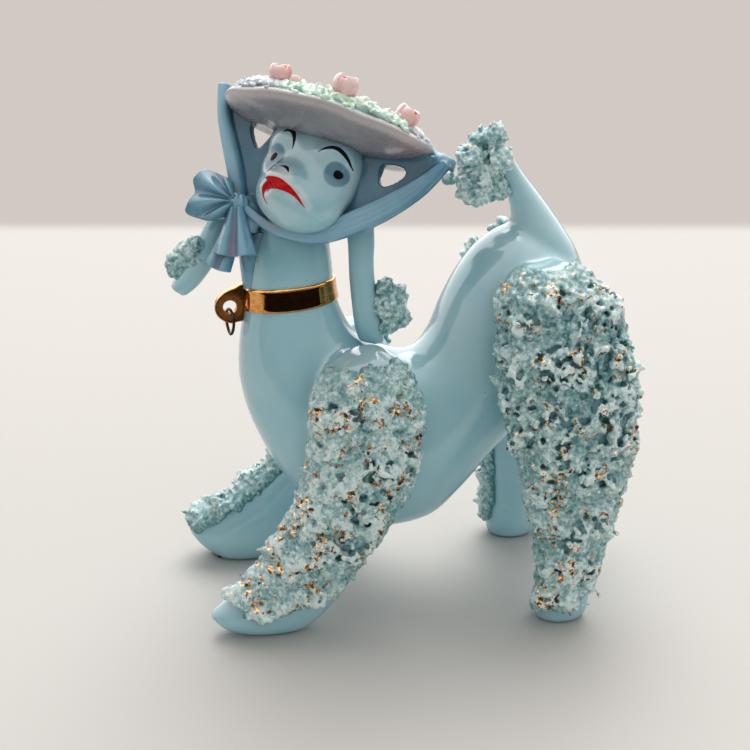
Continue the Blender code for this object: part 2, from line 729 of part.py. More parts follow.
def build_bow():
    """Knot, pleated loop and the hanging ends of the bow."""
    def in_bow(side, forward, up):
        return from_head(
            BOW_CENTRE[0] + side, BOW_CENTRE[1] + forward, BOW_CENTRE[2] + up)

    directions, faces = ball_directions(12, 8)
    knot = [in_bow(*(r * d for r, d in zip(BOW_KNOT_RADII, v))) for v in directions]
    piece("bow_knot", (knot, faces), "scarf_glaze")
    grown = [
        in_bow(*((r + SEAM) * d for r, d in zip(BOW_KNOT_RADII, v))) for v in directions]
    cutter("bow_knot", (grown, faces))

    push = head_frame()[1] * BOW_SHEET
    first, last = BOW_LOOP_ANGLES
    fan = []
    for i in range(6):
        reach = 1.2 + (BOW_LOOP_REACH - 1.2) * i / 5
        line = []
        for j in range(17):
            turn = math.radians(first + (last - first) * j / 16)
            pleat = BOW_PLEAT * math.sin(math.pi * j / 2.0) * i / 5
            swell = BOW_SWELL * math.sin(math.pi * i / 5)
            line.append(in_bow(
                reach * math.cos(turn), pleat + swell, reach * math.sin(turn)))
        fan.append(line)
    piece("bow_loop", sheet(fan, push), "scarf_glaze")

    def streamer(name, start, end, narrow, wide, depth):
        """Hanging ribbon end that flares away from the knot."""
        along = Vector((end[0] - start[0], end[1] - start[1], 0.0))
        across = Vector((-along.y, along.x, 0.0)).normalized()
        grid = []
        for i in range(6):
            t = i / 5
            line = []
            for j in range(7):
                s = j / 6 - 0.5
                spot = Vector((start[0], start[1], 0.0)) + along * t
                spot += across * (s * (narrow + (wide - narrow) * t))
                fold = depth + 0.8 * math.sin(3.0 * math.pi * s) * t
                line.append(in_bow(spot.x, fold, spot.y))
            grid.append(line)
        piece(name, sheet(grid, push), "scarf_glaze")

    streamer("bow_tail", (0.3, -1.4), (3.4, -10.6), 3.0, 9.6, 0.6)
    streamer("bow_tail_rear", (-1.0, -8.0), (0.2, -15.0), 4.0, 5.4, -2.2)
    for name in ("bow_loop", "bow_tail", "bow_tail_rear"):
        cut(name, "bow_knot", "torso", "head")
    for name in ("scarf_right", "scarf_left"):
        cut(name, "bow_knot")


def build_collar():
    """Gilt collar with its leash lug and the loose wire link."""
    rows = torso_rows()
    count = 481
    dense = resample(rows, count)
    per_row = (count - 1) / (len(rows) - 1)
    middle = round(COLLAR_ROW * per_row)
    step = Vector((dense[middle - 6][0], 0.0, dense[middle - 6][1])) - Vector(
        (dense[middle + 6][0], 0.0, dense[middle + 6][1]))
    reach = round(6 * COLLAR_HEIGHT / step.length)
    turns = [360.0 * j / COLLAR_AROUND for j in range(COLLAR_AROUND)]

    def slanted_ring(steps, grow):
        """Ring round the neck, a number of steps from the collar's middle line."""
        ring = []
        for turn in turns:
            rise = COLLAR_LEFT_RISE * math.sin(math.radians(turn))
            rise += COLLAR_BACK_RISE * math.cos(math.radians(turn))
            level = dense[middle - round(rise * per_row) + steps]
            ring.append(section(level, 1.0, grow, turn))
        return ring

    levels = (-reach, 0, reach)
    inner = [slanted_ring(steps, SEAM) for steps in levels]
    outer = [slanted_ring(steps, SEAM + COLLAR_THICK) for steps in levels]
    points = [p for ring in outer + inner[::-1] for p in ring]
    faces = []
    for i in range(6):
        for j in range(COLLAR_AROUND):
            k = (j + 1) % COLLAR_AROUND
            low = i * COLLAR_AROUND
            high = ((i + 1) % 6) * COLLAR_AROUND
            faces.append((low + j, low + k, high + k, high + j))
    piece("collar", (points, faces), "gold_lustre")
    grown = [slanted_ring(steps, SEAM * 2 + COLLAR_THICK)
             for steps in (-reach - 8, 0, reach + 8)]
    cutter("collar", loft(grown))

    def in_midplane(x, z, depth):
        return Vector((x, depth, z))

    hole = (LUG_HOLE[0], LUG_HOLE[1], LUG_HOLE_RADIUS, LUG_HOLE_RADIUS)
    piece("leash_lug", plate(LUG_OUTLINE, hole, LUG_THICK, in_midplane), "gold_lustre")
    cut("leash_lug", "collar", "torso")


def build_chain_ring():
    """Open wire link hanging in the lug; its origin lies on its hinge axis."""
    pivot = Vector((LUG_HOLE[0], 0.0, LUG_HOLE[1] - RING_DROP))
    opening = math.radians(RING_OPENING)
    bottom = -0.5 * math.pi - 0.35
    rings = []
    steps = 24
    for i in range(steps + 1):
        turn = bottom + 0.5 * opening + (2 * math.pi - opening) * i / steps
        y = RING_HALF_WIDTH * math.cos(turn)
        z = RING_HALF_HEIGHT * math.sin(turn) - RING_HALF_HEIGHT
        outward = Vector((0.0, math.cos(turn) / RING_HALF_WIDTH,
                          math.sin(turn) / RING_HALF_HEIGHT)).normalized()
        rings.append([
            Vector((0.0, y, z)) + outward * (RING_WIRE * math.cos(a))
            + Vector((RING_WIRE * math.sin(a), 0.0, 0.0))
            for a in (2 * math.pi * j / 6 for j in range(6))])
    ring = piece("chain_ring", loft(rings), "dark_wire")
    ring.location = pivot * MM


def main():
    """Build the whole figurine."""
    clear_scene()
    for name in MATERIALS:
        PAINT[name] = make_material(name)
    build_torso()
    build_legs()
    build_tail_and_ears()
    build_head()
    build_scarf()
    build_bow()
    build_ribbon_end()
    build_collar()
    build_chain_ring()
    for name in ("left_ear", "right_ear"):
        cut(name, "head")


main()
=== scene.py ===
"""Looks of the glazed ceramic poodle figurine in its tied sun hat.

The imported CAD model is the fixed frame.  Every visible surface is rebuilt here
as a fine closed mesh in the same place.  Shapes are worked out in millimetres
and become metres when a piece is finished.  The dog faces -X, its left side is
-Y and the table is z = 0.
"""
import math

import bmesh
import bpy
import numpy as np
from mathutils import Matrix, Vector, noise
from mathutils.bvhtree import BVHTree


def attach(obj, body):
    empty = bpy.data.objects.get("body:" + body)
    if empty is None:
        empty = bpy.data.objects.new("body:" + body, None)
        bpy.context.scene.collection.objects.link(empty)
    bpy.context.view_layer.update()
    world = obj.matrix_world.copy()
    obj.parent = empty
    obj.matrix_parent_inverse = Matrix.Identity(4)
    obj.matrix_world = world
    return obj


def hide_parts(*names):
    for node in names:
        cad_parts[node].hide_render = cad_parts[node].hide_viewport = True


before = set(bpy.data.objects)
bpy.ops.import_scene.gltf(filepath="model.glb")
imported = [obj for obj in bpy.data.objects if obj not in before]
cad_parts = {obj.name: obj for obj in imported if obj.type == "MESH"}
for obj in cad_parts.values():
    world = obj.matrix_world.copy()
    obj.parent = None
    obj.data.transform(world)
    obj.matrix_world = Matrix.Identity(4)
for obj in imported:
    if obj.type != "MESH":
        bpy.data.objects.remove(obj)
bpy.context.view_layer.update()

MM = 0.001
BODY = "figurine"
LINK = "ring"

# ---------------------------------------------------------------- body profile
# Each row: front x, front z, back x, back z, distance from the midplane, half width.
TORSO_ROWS = [
    (-33.5, 95.0, -17.5, 98.0, 0.0, 8.0),
    (-35.5, 88.0, -16.5, 91.5, 0.0, 9.6),
    (-36.0, 80.5, -15.7, 84.0, 0.0, 10.0),
    (-36.3, 73.5, -15.0, 77.0, 0.0, 10.6),
    (-37.6, 66.0, -13.2, 71.5, 0.0, 11.8),
    (-37.8, 56.0, -10.5, 66.8, 0.0, 13.6),
    (-34.5, 44.0, -6.5, 63.8, 0.0, 15.2),
    (-26.0, 29.0, -2.5, 62.0, 0.0, 15.8),
    (-10.0, 17.5, 1.5, 61.2, 0.0, 15.2),
    (6.0, 17.8, 4.8, 62.2, 0.0, 14.2),
    (15.5, 25.5, 7.8, 66.5, 0.0, 13.2),
    (22.0, 33.0, 10.3, 73.0, 0.0, 13.0),
    (29.0, 40.0, 14.3, 80.6, 0.0, 13.8),
    (38.0, 46.0, 19.5, 86.8, 0.0, 14.6),
    (46.5, 56.0, 26.0, 90.5, 0.0, 14.0),
    (49.0, 67.0, 32.5, 89.5, 0.0, 10.5),
    (47.5, 74.5, 38.5, 86.5, 0.0, 5.5),
]
LEFT_FORELEG_ROWS = [
    (-14.0, 66.5, -7.0, 67.5, 14.5, 3.5),
    (-19.5, 63.0, -1.5, 63.5, 15.5, 7.0),
    (-22.4, 56.5, 2.6, 56.5, 17.0, 8.2),
    (-23.4, 48.0, 2.8, 47.5, 18.0, 8.2),
    (-24.2, 40.0, 0.8, 37.0, 18.6, 7.6),
    (-27.0, 31.5, -4.0, 26.5, 19.2, 6.8),
    (-32.2, 22.8, -10.4, 17.5, 19.7, 6.0),
    (-37.0, 15.6, -16.4, 9.4, 20.0, 5.6),
    (-40.6, 11.8, -22.0, 2.8, 20.0, 5.4),
    (-43.2, 9.8, -28.0, -0.8, 20.0, 5.2),
    (-46.0, 7.6, -37.0, -0.6, 20.0, 4.8),
    (-48.6, 5.2, -43.5, 1.0, 20.0, 3.2),
]
RIGHT_FORELEG_ROWS = [
    (-14.0, 64.0, -7.0, 65.0, 14.5, 3.5),
    (-19.5, 60.0, -1.5, 60.5, 15.5, 7.0),
    (-22.5, 53.0, 2.5, 53.0, 17.0, 8.6),
    (-22.5, 43.0, 3.5, 42.0, 18.0, 8.6),
    (-23.0, 34.0, 1.0, 30.5, 18.8, 7.8),
    (-26.5, 26.8, -6.0, 19.5, 19.6, 6.8),
    (-32.0, 21.3, -14.0, 11.0, 20.4, 6.0),
    (-37.5, 17.3, -21.5, 3.4, 21.0, 5.8),
    (-42.5, 14.3, -29.5, -1.4, 21.4, 5.6),
    (-47.0, 11.8, -39.0, -1.2, 21.6, 5.0),
    (-50.4, 9.2, -46.0, 3.2, 21.8, 3.4),
]
HIND_LEG_ROWS = [
    (27.0, 84.0, 37.0, 85.0, 13.0, 4.0),
    (22.5, 79.0, 43.0, 80.0, 14.5, 7.4),
    (20.8, 70.0, 48.6, 71.0, 16.2, 9.2),
    (21.0, 60.0, 51.2, 60.0, 17.6, 9.6),
    (22.4, 50.0, 51.8, 49.0, 19.0, 9.0),
    (25.0, 40.0, 50.6, 38.5, 20.4, 8.0),
    (27.4, 30.0, 47.8, 28.5, 21.6, 6.8),
    (29.0, 20.0, 45.0, 18.5, 22.6, 5.8),
    (29.6, 11.0, 43.0, 9.5, 23.4, 5.4),
    (28.4, 4.0, 42.2, 3.4, 24.0, 5.6),
    (29.2, -0.8, 41.0, -0.8, 24.0, 5.2),
]
TAIL_ROWS = [
    (27.5, 86.0, 47.0, 73.0, 0.0, 8.6),
    (27.0, 91.0, 43.0, 84.0, 0.0, 7.4),
    (26.4, 95.5, 38.6, 91.0, 0.0, 5.6),
    (25.4, 99.0, 34.2, 97.0, 0.0, 4.2),
    (23.8, 102.6, 29.6, 103.0, 0.0, 3.0),
    (21.6, 106.2, 26.4, 108.0, 0.0, 2.5),
    (19.4, 109.2, 23.0, 112.0, 0.0, 2.0),
]
LEFT_EAR_ROWS = [
    (-14.4, 102.0, -8.8, 103.5, 2.8, 2.0),
    (-13.2, 95.5, -6.8, 97.5, 3.8, 2.4),
    (-12.6, 88.0, -6.4, 90.6, 4.8, 2.6),
    (-12.4, 81.0, -6.6, 84.0, 5.0, 2.8),
    (-11.8, 74.5, -6.0, 77.0, 5.0, 3.1),
    (-11.2, 69.5, -4.6, 70.2, 5.0, 3.2),
    (-10.2, 66.0, -4.2, 65.0, 5.0, 2.8),
]
RIGHT_EAR_ROWS = [
    (-35.5, 105.0, -30.5, 102.0, -9.4, 2.0),
    (-39.6, 100.0, -34.4, 96.8, -8.4, 2.4),
    (-43.4, 94.2, -38.0, 91.4, -6.4, 2.6),
    (-47.4, 87.4, -41.8, 84.6, -4.4, 2.8),
    (-51.2, 81.8, -46.0, 79.2, -3.4, 3.0),
    (-53.0, 78.6, -49.6, 76.4, -3.0, 2.4),
]
BODY_VOXEL = 0.5
FILLET_VOXEL = 0.8

# ------------------------------------------------------------------- fur trims
# name: rows, side, first and last row share, thickness, then the first and last
# angle at the top and at the bottom, and whether gold was brushed on.
LEG_FUR = {
    "left_foreleg": (LEFT_FORELEG_ROWS, -1.0, 0.08, 0.89, 3.4, -26, -166, -56, -186, True),
    "right_foreleg": (RIGHT_FORELEG_ROWS, 1.0, 0.12, 0.95, 4.6, -24, -190, -10, -224, False),
    "left_hind_leg": (HIND_LEG_ROWS, -1.0, 0.03, 0.95, 3.9, 2, -184, 0, -160, True),
    "right_hind_leg": (HIND_LEG_ROWS, 1.0, 0.02, 0.88, 3.6, 6, -200, 6, -196, False),
}
# Lowest height of the trims of the left legs along the table: x, height.
TRIM_ENDS = {
    "left_foreleg": [(-48.0, 11.5), (-44.5, 11.0), (-41.0, 8.2), (-36.5, 4.6), (-30.0, 6.6),
                     (-25.0, 8.6), (-20.0, 10.0), (-16.0, 0.0)],
    "left_hind_leg": [(26.0, 3.6), (34.0, 3.4), (38.0, 5.0), (42.0, 9.0), (46.0, 14.0)],
}
# name: height where the brushed gold starts, then lobes with centre and radius.
TUFTS = {
    "left_ear_tuft": (200.0, [
        (-4.1, -6.6, 79.0, 2.2), (-1.1, -6.0, 76.8, 2.4), (-6.2, -5.6, 74.6, 2.2),
        (-3.4, -6.4, 73.8, 3.4), (-0.7, -6.0, 71.2, 2.6), (-4.1, -6.0, 69.6, 2.4),
        (-3.0, -3.6, 75.4, 3.0)]),
    "right_ear_tuft": (200.0, [
        (-47.3, 2.0, 89.0, 1.8), (-49.1, 3.2, 86.1, 3.0), (-51.6, 3.2, 84.4, 2.3),
        (-51.4, 3.6, 82.4, 1.9), (-46.9, 3.4, 84.4, 2.1), (-49.4, 5.6, 85.4, 2.4)]),
    "tail_tuft": (110.6, [
        (22.5, -0.8, 112.2, 2.7), (19.6, 0.4, 111.2, 2.0), (17.8, -1.0, 111.4, 1.6),
        (16.4, -2.6, 107.4, 3.2), (23.0, -2.4, 107.2, 3.5), (17.4, -2.6, 100.2, 4.2),
        (23.2, -1.6, 99.6, 2.9), (11.8, -0.6, 102.4, 1.5), (19.8, 0.0, 103.8, 4.6),
        (18.4, 4.4, 106.4, 3.7), (18.0, 3.8, 101.0, 3.7), (22.6, 3.4, 104.0, 3.0)]),
}
# Stray lumps on the far thigh that rise over the back: centre and radius.
STRAY_LUMPS = [
    ((20.8, 17.5, 79.6), 1.9), ((22.4, 17.0, 81.4), 1.7), ((24.0, 18.5, 80.6), 1.6),
    ((27.6, 17.5, 85.0), 1.6), ((29.4, 17.0, 87.0), 1.3), ((30.4, 18.0, 85.6), 1.5),
]
CRUMB_VOXEL = 0.3

# ---------------------------------------------------------------- head and hat
HEAD_CENTRE = (-21.0, -3.0, 105.0)
HEAD_YAW = -28.0
HEAD_PITCH = 24.0
HEAD_ROLL = 14.0
# Ellipsoids of the head: side, forward, up centre; side, forward, up radius.
HEAD_BALLS = [
    (0.9, -1.0, 2.0, 10.9, 11.4, 12.3),
    (1.1, 2.2, -2.0, 10.5, 9.4, 7.8),
    (1.2, 4.0, -6.0, 10.1, 9.3, 7.5),
    (-0.4, 7.0, -2.8, 4.8, 8.2, 4.0),
    (-1.3, 13.0, -3.8, 2.9, 2.7, 2.1),
    (-5.1, 4.4, 4.5, 4.4, 5.6, 5.0),
    (-4.8, 3.6, -0.5, 4.8, 6.0, 4.8),
    (5.8, 4.6, 4.6, 4.6, 5.6, 5.0),
]
HEAD_BLEND = 16.0

HAT_CENTRE = (0.5, -1.0, 10.2)
HAT_LEAN = 4.0
HAT_ROLL = -5.0
HAT_RADIUS = 25.0
HAT_RIM_HEIGHT = 1.4
# Cross section of the hat: share of the radius, height above the hat centre.
HAT_PROFILE = [
    (0.00, -3.2), (0.42, -3.0), (0.72, -1.9), (0.93, -0.2),
    (1.00, 1.4), (0.95, 2.8), (0.80, 3.9), (0.50, 5.8), (0.22, 6.9), (0.00, 7.2),
]

# Scarf in the head's side-up plane.
RIGHT_STRAP = [(-27.0, 13.4), (-24.1, 6.6), (-20.2, 0.8), (-16.3, -5.0), (-12.9, -11.2)]
LEFT_STRAP = [
    (29.6, 12.6), (25.6, 5.6), (19.8, -1.4), (14.0, -7.0), (8.0, -11.8),
    (2.0, -13.7), (-3.4, -13.9), (-8.2, -12.6), (-11.8, -11.2),
]
RIGHT_WEB = [
    (-26.9, 12.8), (-20.0, 1.2), (-15.6, -5.4), (-12.2, -12.0), (-8.0, -13.0),
    (-8.0, 13.0), (-20.0, 13.6),
]
RIGHT_HOLE = [
    (-17.6, 6.4), (-16.2, 7.8), (-14.3, 7.9), (-12.1, 6.9), (-12.4, 5.3),
    (-13.8, 2.3), (-14.7, 2.2), (-16.4, 4.0),
]
LEFT_WEB = [
    (29.6, 13.0), (24.0, 5.0), (19.0, -1.0), (13.0, -6.0), (8.0, -9.0),
    (8.0, 13.0), (20.0, 13.6),
]
LEFT_HOLE = [
    (15.3, 7.2), (17.8, 8.4), (20.8, 8.3), (21.2, 6.6), (19.4, 4.4), (17.4, 3.2), (15.8, 4.2),
]
RIBBON_ENDS = (-27.8, 29.6)
RIBBON_WIDTH = 8.0
RIBBON_SET_BACK = 2.5

# Rose heads on the hat: side, forward, height, radius, petals.
ROSES = {
    "rose_right": (-7.5, 19.4, 6.6, 2.5, 5),
    "rose_middle": (7.5, 19.4, 7.0, 2.9, 6),
    "rose_left": (19.2, 8.0, 6.2, 2.8, 5),
    "rose_bud": (-3.4, 20.4, 5.6, 1.4, 3),
}
# Clumps on the hat: arc from, arc to in degrees round the hat, height, crumbs.
CLUMPS = {
    "hat_leaves": (26.0, 104.0, 2.4, 420),
    "blossoms_right": (104.0, 144.0, 1.9, 170),
    "blossoms_left": (5.0, 20.0, 1.6, 70),
}

# --------------------------------------------------------------- bow and collar
BOW_CENTRE = (-12.0, 4.8, -11.3)
# Reach of the bow loops from the knot: angle in degrees, reach.
BOW_EDGE = [
    (126.0, 4.8), (142.0, 7.4), (150.0, 9.6), (156.0, 11.2), (167.0, 11.8), (174.0, 12.2),
    (186.0, 10.7), (198.0, 11.5), (210.0, 13.0), (218.0, 10.6), (232.0, 7.8), (246.0, 4.6),
]
BOW_FIRST_FOLD = 133.0
BOW_FOLD_STEP = 33.0
COLLAR_ROW = 2.74
COLLAR_LEFT_RISE = 0.16
COLLAR_BACK_RISE = -0.12
COLLAR_HALF_HEIGHT = 2.7
COLLAR_THICK = 0.45
LUG_HOLE = (-39.7, 74.2)
LUG_HOLE_RADIUS = 1.6
LUG_THICK = 2.0
LUG_OUTLINE = [
    (-36.2, 79.2), (-38.6, 78.7), (-40.8, 77.8), (-42.5, 76.2), (-43.2, 74.4),
    (-42.9, 72.6), (-41.6, 71.1), (-39.8, 70.3), (-38.0, 70.5), (-36.4, 71.6),
]
RING_WIRE = 0.35
RING_HALF_WIDTH = 2.3
RING_HALF_HEIGHT = 3.0
RING_DROP = 0.75
RING_OPENING = 18.0
RING_TWIST = 17.0

# ---------------------------------------------------------------- camera
CAMERA_AZIMUTH = -10.0
CAMERA_ELEVATION = 20.0
CAMERA_DISTANCE = 400.0
CAMERA_AIM = (-8.77, -18.84, 62.0)
CAMERA_LENS = 84.48


# --------------------------------------------------------------- curve kernel
def spline(rows, places):
    """Rows of numbers read off a Catmull-Rom curve at fractional row numbers."""
    table = np.array(rows, float)
    last = len(table) - 1
    places = np.clip(np.asarray(places, float), 0.0, last)
    start = np.minimum(places.astype(int), last - 1)
    t = (places - start)[..., None]
    before = table[np.maximum(start - 1, 0)]
    here = table[start]
    after = table[start + 1]
    beyond = table[np.minimum(start + 2, last)]
    return 0.5 * (2 * here + (after - before) * t
                  + (2 * before - 5 * here + 4 * after - beyond) * t ** 2
                  + (3 * here - before - 3 * after + beyond) * t ** 3)


def evenly(rows, count):
    """The whole curve through the rows, at evenly spaced row numbers."""
    return spline(rows, np.linspace(0.0, len(rows) - 1, count))


def section(rows, side, grow, degrees):
    """Points on the ellipses of limb rows; 0 degrees is the back edge."""
    x_front, z_front, x_back, z_back, offset, half_width = np.moveaxis(rows, -1, 0)
    nothing = np.zeros_like(x_front)
    centre = np.stack([(x_front + x_back) / 2, side * offset, (z_front + z_back) / 2], -1)
    chord = np.stack([x_back - x_front, nothing, z_back - z_front], -1)
    length = np.linalg.norm(chord, axis=-1)
    turn = np.radians(degrees)
    across = (chord / length[..., None]) * ((length / 2 + grow) * np.cos(turn))[..., None]
    outward = -side * (half_width + grow) * np.sin(turn)
    return centre + across + np.stack([nothing, outward, nothing], -1)


def loft(rings):
    """Points and faces of a capped tube through rings of equal length."""
    rings = np.asarray(rings, float)
    steps, count = rings.shape[:2]
    points = rings.reshape(-1, 3)
    ends = np.stack([rings[0].mean(0), rings[-1].mean(0)])
    faces = []
    for i in range(steps - 1):
        for j in range(count):
            k = (j + 1) % count
            low = i * count
            faces.append((low + j, low + k, low + count + k, low + count + j))
    top = (steps - 1) * count
    for j in range(count):
        k = (j + 1) % count
        faces.append((k, j, steps * count))
        faces.append((top + j, top + k, steps * count + 1))
    return np.vstack([points, ends]), faces


def slab(inner, outer):
    """Closed sheet between two grids of points."""
    inner = np.asarray(inner, float)
    rows, cols = inner.shape[:2]
    points = np.vstack([inner.reshape(-1, 3), np.asarray(outer, float).reshape(-1, 3)])
    shift = rows * cols
    faces = []
    for i in range(rows - 1):
        for j in range(cols - 1):
            a = i * cols + j
            faces.append((a, a + 1, a + cols + 1, a + cols))
            faces.append((shift + a + cols, shift + a + cols + 1, shift + a + 1, shift + a))
    rim = list(range(cols))
    rim += [i * cols + cols - 1 for i in range(1, rows)]
    rim += [(rows - 1) * cols + j for j in range(cols - 2, -1, -1)]
    rim += [i * cols for i in range(rows - 2, 0, -1)]
    for a, b in zip(rim, rim[1:] + rim[:1]):
        faces.append((b, a, shift + a, shift + b))
    return points, faces


def limb(rows, side, count, around, sole=False):
    """Lofted limb or body through the rows."""
    turns = np.arange(around) * 360.0 / around
    sampled = evenly(rows, count)
    rings = np.stack([section(sampled, side, 0.0, turn) for turn in turns], 1)
    if sole:
        rings[..., 2] = np.maximum(rings[..., 2], 0.0)
    return loft(rings)


def rounded(outline, count):
    """Closed smooth curve through the corners of an outline."""
    wrapped = outline[-2:] + outline + outline[:2]
    places = np.linspace(2.0, len(outline) + 2.0, count, endpoint=False)
    return spline(wrapped[:], np.minimum(places, len(wrapped) - 1.001))


def plate(outlines, place, low, high):
    """Plate between two levels whose outlines are a rim and its holes."""
    work = bmesh.new()
    edges = []
    for loop in outlines:
        verts = [work.verts.new((float(x), float(y), 0.0)) for x, y in loop]
        edges += [work.edges.new(pair) for pair in zip(verts, verts[1:] + verts[:1])]
    filled = bmesh.ops.triangle_fill(work, edges=edges, use_beauty=True)
    flat = [item for item in filled["geom"] if isinstance(item, bmesh.types.BMFace)]
    raised = bmesh.ops.extrude_face_region(work, geom=flat, use_keep_orig=True)
    top = {item for item in raised["geom"] if isinstance(item, bmesh.types.BMVert)}
    work.verts.index_update()
    points = np.array([place(v.co.x, v.co.y, high if v in top else low) for v in work.verts])
    faces = [[v.index for v in face.verts] for face in work.faces]
    work.free()
    return points, faces


def unit(vectors):
    """Vectors scaled to length one."""
    return vectors / np.maximum(np.linalg.norm(vectors, axis=-1, keepdims=True), 1e-9)


def smoothstep(low, high, values):
    """Soft step from 0 at low to 1 at high."""
    t = np.clip((np.asarray(values, float) - low) / (high - low), 0.0, 1.0)
    return t * t * (3.0 - 2.0 * t)


def noise_at(points, grain, seed=0.0):
    """Smooth noise from about -1 to 1 at points, with lumps of one grain."""
    return np.array([
        noise.noise(Vector((x / grain + seed, y / grain, z / grain))) for x, y, z in points])


def ball(level):
    """Points and faces of a unit ball made of even triangles."""
    work = bmesh.new()
    bmesh.ops.create_icosphere(work, subdivisions=level, radius=1.0)
    points = np.array([v.co[:] for v in work.verts])
    faces = [tuple(v.index for v in face.verts) for face in work.faces]
    work.free()
    return points, faces


# ---------------------------------------------------------------- mesh objects
def join(shapes):
    """One list of points and faces from several."""
    points = []
    faces = []
    shift = 0
    for some, their_faces in shapes:
        points.append(np.asarray(some, float))
        faces += [tuple(index + shift for index in face) for face in their_faces]
        shift += len(some)
    return np.vstack(points), faces


def as_object(name, shape):
    """Mesh object, still in millimetres, with its faces pointing out."""
    points, faces = shape
    mesh = bpy.data.meshes.new(name)
    mesh.from_pydata(points.tolist(), [], faces)
    work = bmesh.new()
    work.from_mesh(mesh)
    bmesh.ops.remove_doubles(work, verts=work.verts, dist=0.002)
    bmesh.ops.recalc_face_normals(work, faces=work.faces)
    work.to_mesh(mesh)
    work.free()
    obj = bpy.data.objects.new(name, mesh)
    bpy.context.scene.collection.objects.link(obj)
    return obj


def apply_modifiers(obj):
    """Replace the mesh by the one its modifiers make."""
    graph = bpy.context.evaluated_depsgraph_get()
    graph.update()
    made = bpy.data.meshes.new_from_object(obj.evaluated_get(graph))
    obj.modifiers.clear()
    old = obj.data
    obj.data = made
    bpy.data.meshes.remove(old)


def fuse(obj, voxel, smoothing, factor=0.5):
    """Fuse overlapping shells into one skin and soften it like settled clay."""
    remesh = obj.modifiers.new("fuse", "REMESH")
    remesh.mode = "VOXEL"
    remesh.voxel_size = voxel
    if smoothing:
        soften = obj.modifiers.new("soften", "SMOOTH")
        soften.factor = factor
        soften.iterations = smoothing
    apply_modifiers(obj)


def coordinates(obj):
    """Points of an object's mesh as an array."""
    flat = np.empty(len(obj.data.vertices) * 3, np.float32)
    obj.data.vertices.foreach_get("co", flat)
    return flat.reshape(-1, 3).astype(float)


def set_coordinates(obj, points):
    """Write an array of points back to the mesh."""
    obj.data.vertices.foreach_set("co", np.asarray(points, np.float32).ravel())
    obj.data.update()


def vertex_values(obj, name, values):
    """Store one number per point for the materials to read."""
    layer = obj.data.attributes.new(name, "FLOAT", "POINT")
    layer.data.foreach_set("value", np.asarray(values, np.float32))


def drop_fragments(obj):
    """Keep only the largest connected skin."""
    work = bmesh.new()
    work.from_mesh(obj.data)
    work.verts.ensure_lookup_table()
    seen = set()
    groups = []
    for start in work.verts:
        if start.index in seen:
            continue
        group = []
        stack = [start]
        seen.add(start.index)
        while stack:
            vert = stack.pop()
            group.append(vert)
            for edge in vert.link_edges:
                other = edge.other_vert(vert)
                if other.index not in seen:
                    seen.add(other.index)
                    stack.append(other)
        groups.append(group)
    groups.sort(key=len)
    loose = [vert for group in groups[:-1] for vert in group]
    bmesh.ops.delete(work, geom=loose, context="VERTS")
    work.to_mesh(obj.data)
    work.free()


def finish_piece(obj, paint, replaces=(), body=BODY):
    """Scale to metres, paint, and hang the piece on its body."""
    obj.data.transform(Matrix.Scale(MM, 4))
    obj.data.materials.clear()
    obj.data.materials.append(paint)
    obj.data.shade_smooth()
    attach(obj, body)
    if replaces:
        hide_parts(*replaces)
    return obj


# ------------------------------------------------------------------ head frame
def head_axes():
    """Side, forward and up axes of the head."""
    yaw = math.radians(HEAD_YAW)
    pitch = math.radians(HEAD_PITCH)
    roll = math.radians(HEAD_ROLL)
    forward = np.array([
        math.sin(yaw) * math.cos(pitch), -math.cos(yaw) * math.cos(pitch), math.sin(pitch)])
    level = np.array([math.cos(yaw), math.sin(yaw), 0.0])
    upright = np.array([
        -math.sin(yaw) * math.sin(pitch), math.cos(yaw) * math.sin(pitch), math.cos(pitch)])
    side = level * math.cos(roll) - upright * math.sin(roll)
    up = upright * math.cos(roll) + level * math.sin(roll)
    return np.stack([side, forward, up])


HEAD_AXES = head_axes()


def from_head(side, forward, up):
    """World points of places given in the head's own axes."""
    places = np.stack(np.broadcast_arrays(side, forward, up), -1).astype(float)
    return np.array(HEAD_CENTRE) + places @ HEAD_AXES


def to_head(points):
    """Side, forward and up of world points."""
    return (np.asarray(points, float) - np.array(HEAD_CENTRE)) @ HEAD_AXES.T


def from_hat(side, forward, height):
    """World points given from the hat centre in the hat's own axes."""
    lean = math.radians(HAT_LEAN)
    roll = math.radians(HAT_ROLL)
    across = side * math.cos(roll) + height * math.sin(roll)
    rise = height * math.cos(roll) - side * math.sin(roll)
    ahead = forward * math.cos(lean) - rise * math.sin(lean)
    lift = rise * math.cos(lean) + forward * math.sin(lean)
    return from_head(HAT_CENTRE[0] + across, HAT_CENTRE[1] + ahead, HAT_CENTRE[2] + lift)


def to_hat(points):
    """Side, forward and height over the hat centre of world points."""
    local = to_head(points) - np.array(HAT_CENTRE)
    lean = math.radians(HAT_LEAN)
    roll = math.radians(HAT_ROLL)
    forward = local[..., 1] * math.cos(lean) + local[..., 2] * math.sin(lean)
    rise = local[..., 2] * math.cos(lean) - local[..., 1] * math.sin(lean)
    side = local[..., 0] * math.cos(roll) - rise * math.sin(roll)
    height = rise * math.cos(roll) + local[..., 0] * math.sin(roll)
    return np.stack([side, forward, height], -1)


def hat_top(share):
    """Height of the hat's upper face at a share of its radius."""
    upper = sorted((s, h) for s, h in HAT_PROFILE if h >= HAT_RIM_HEIGHT)
    shares, heights = zip(*upper)
    return np.interp(share, shares, heights)


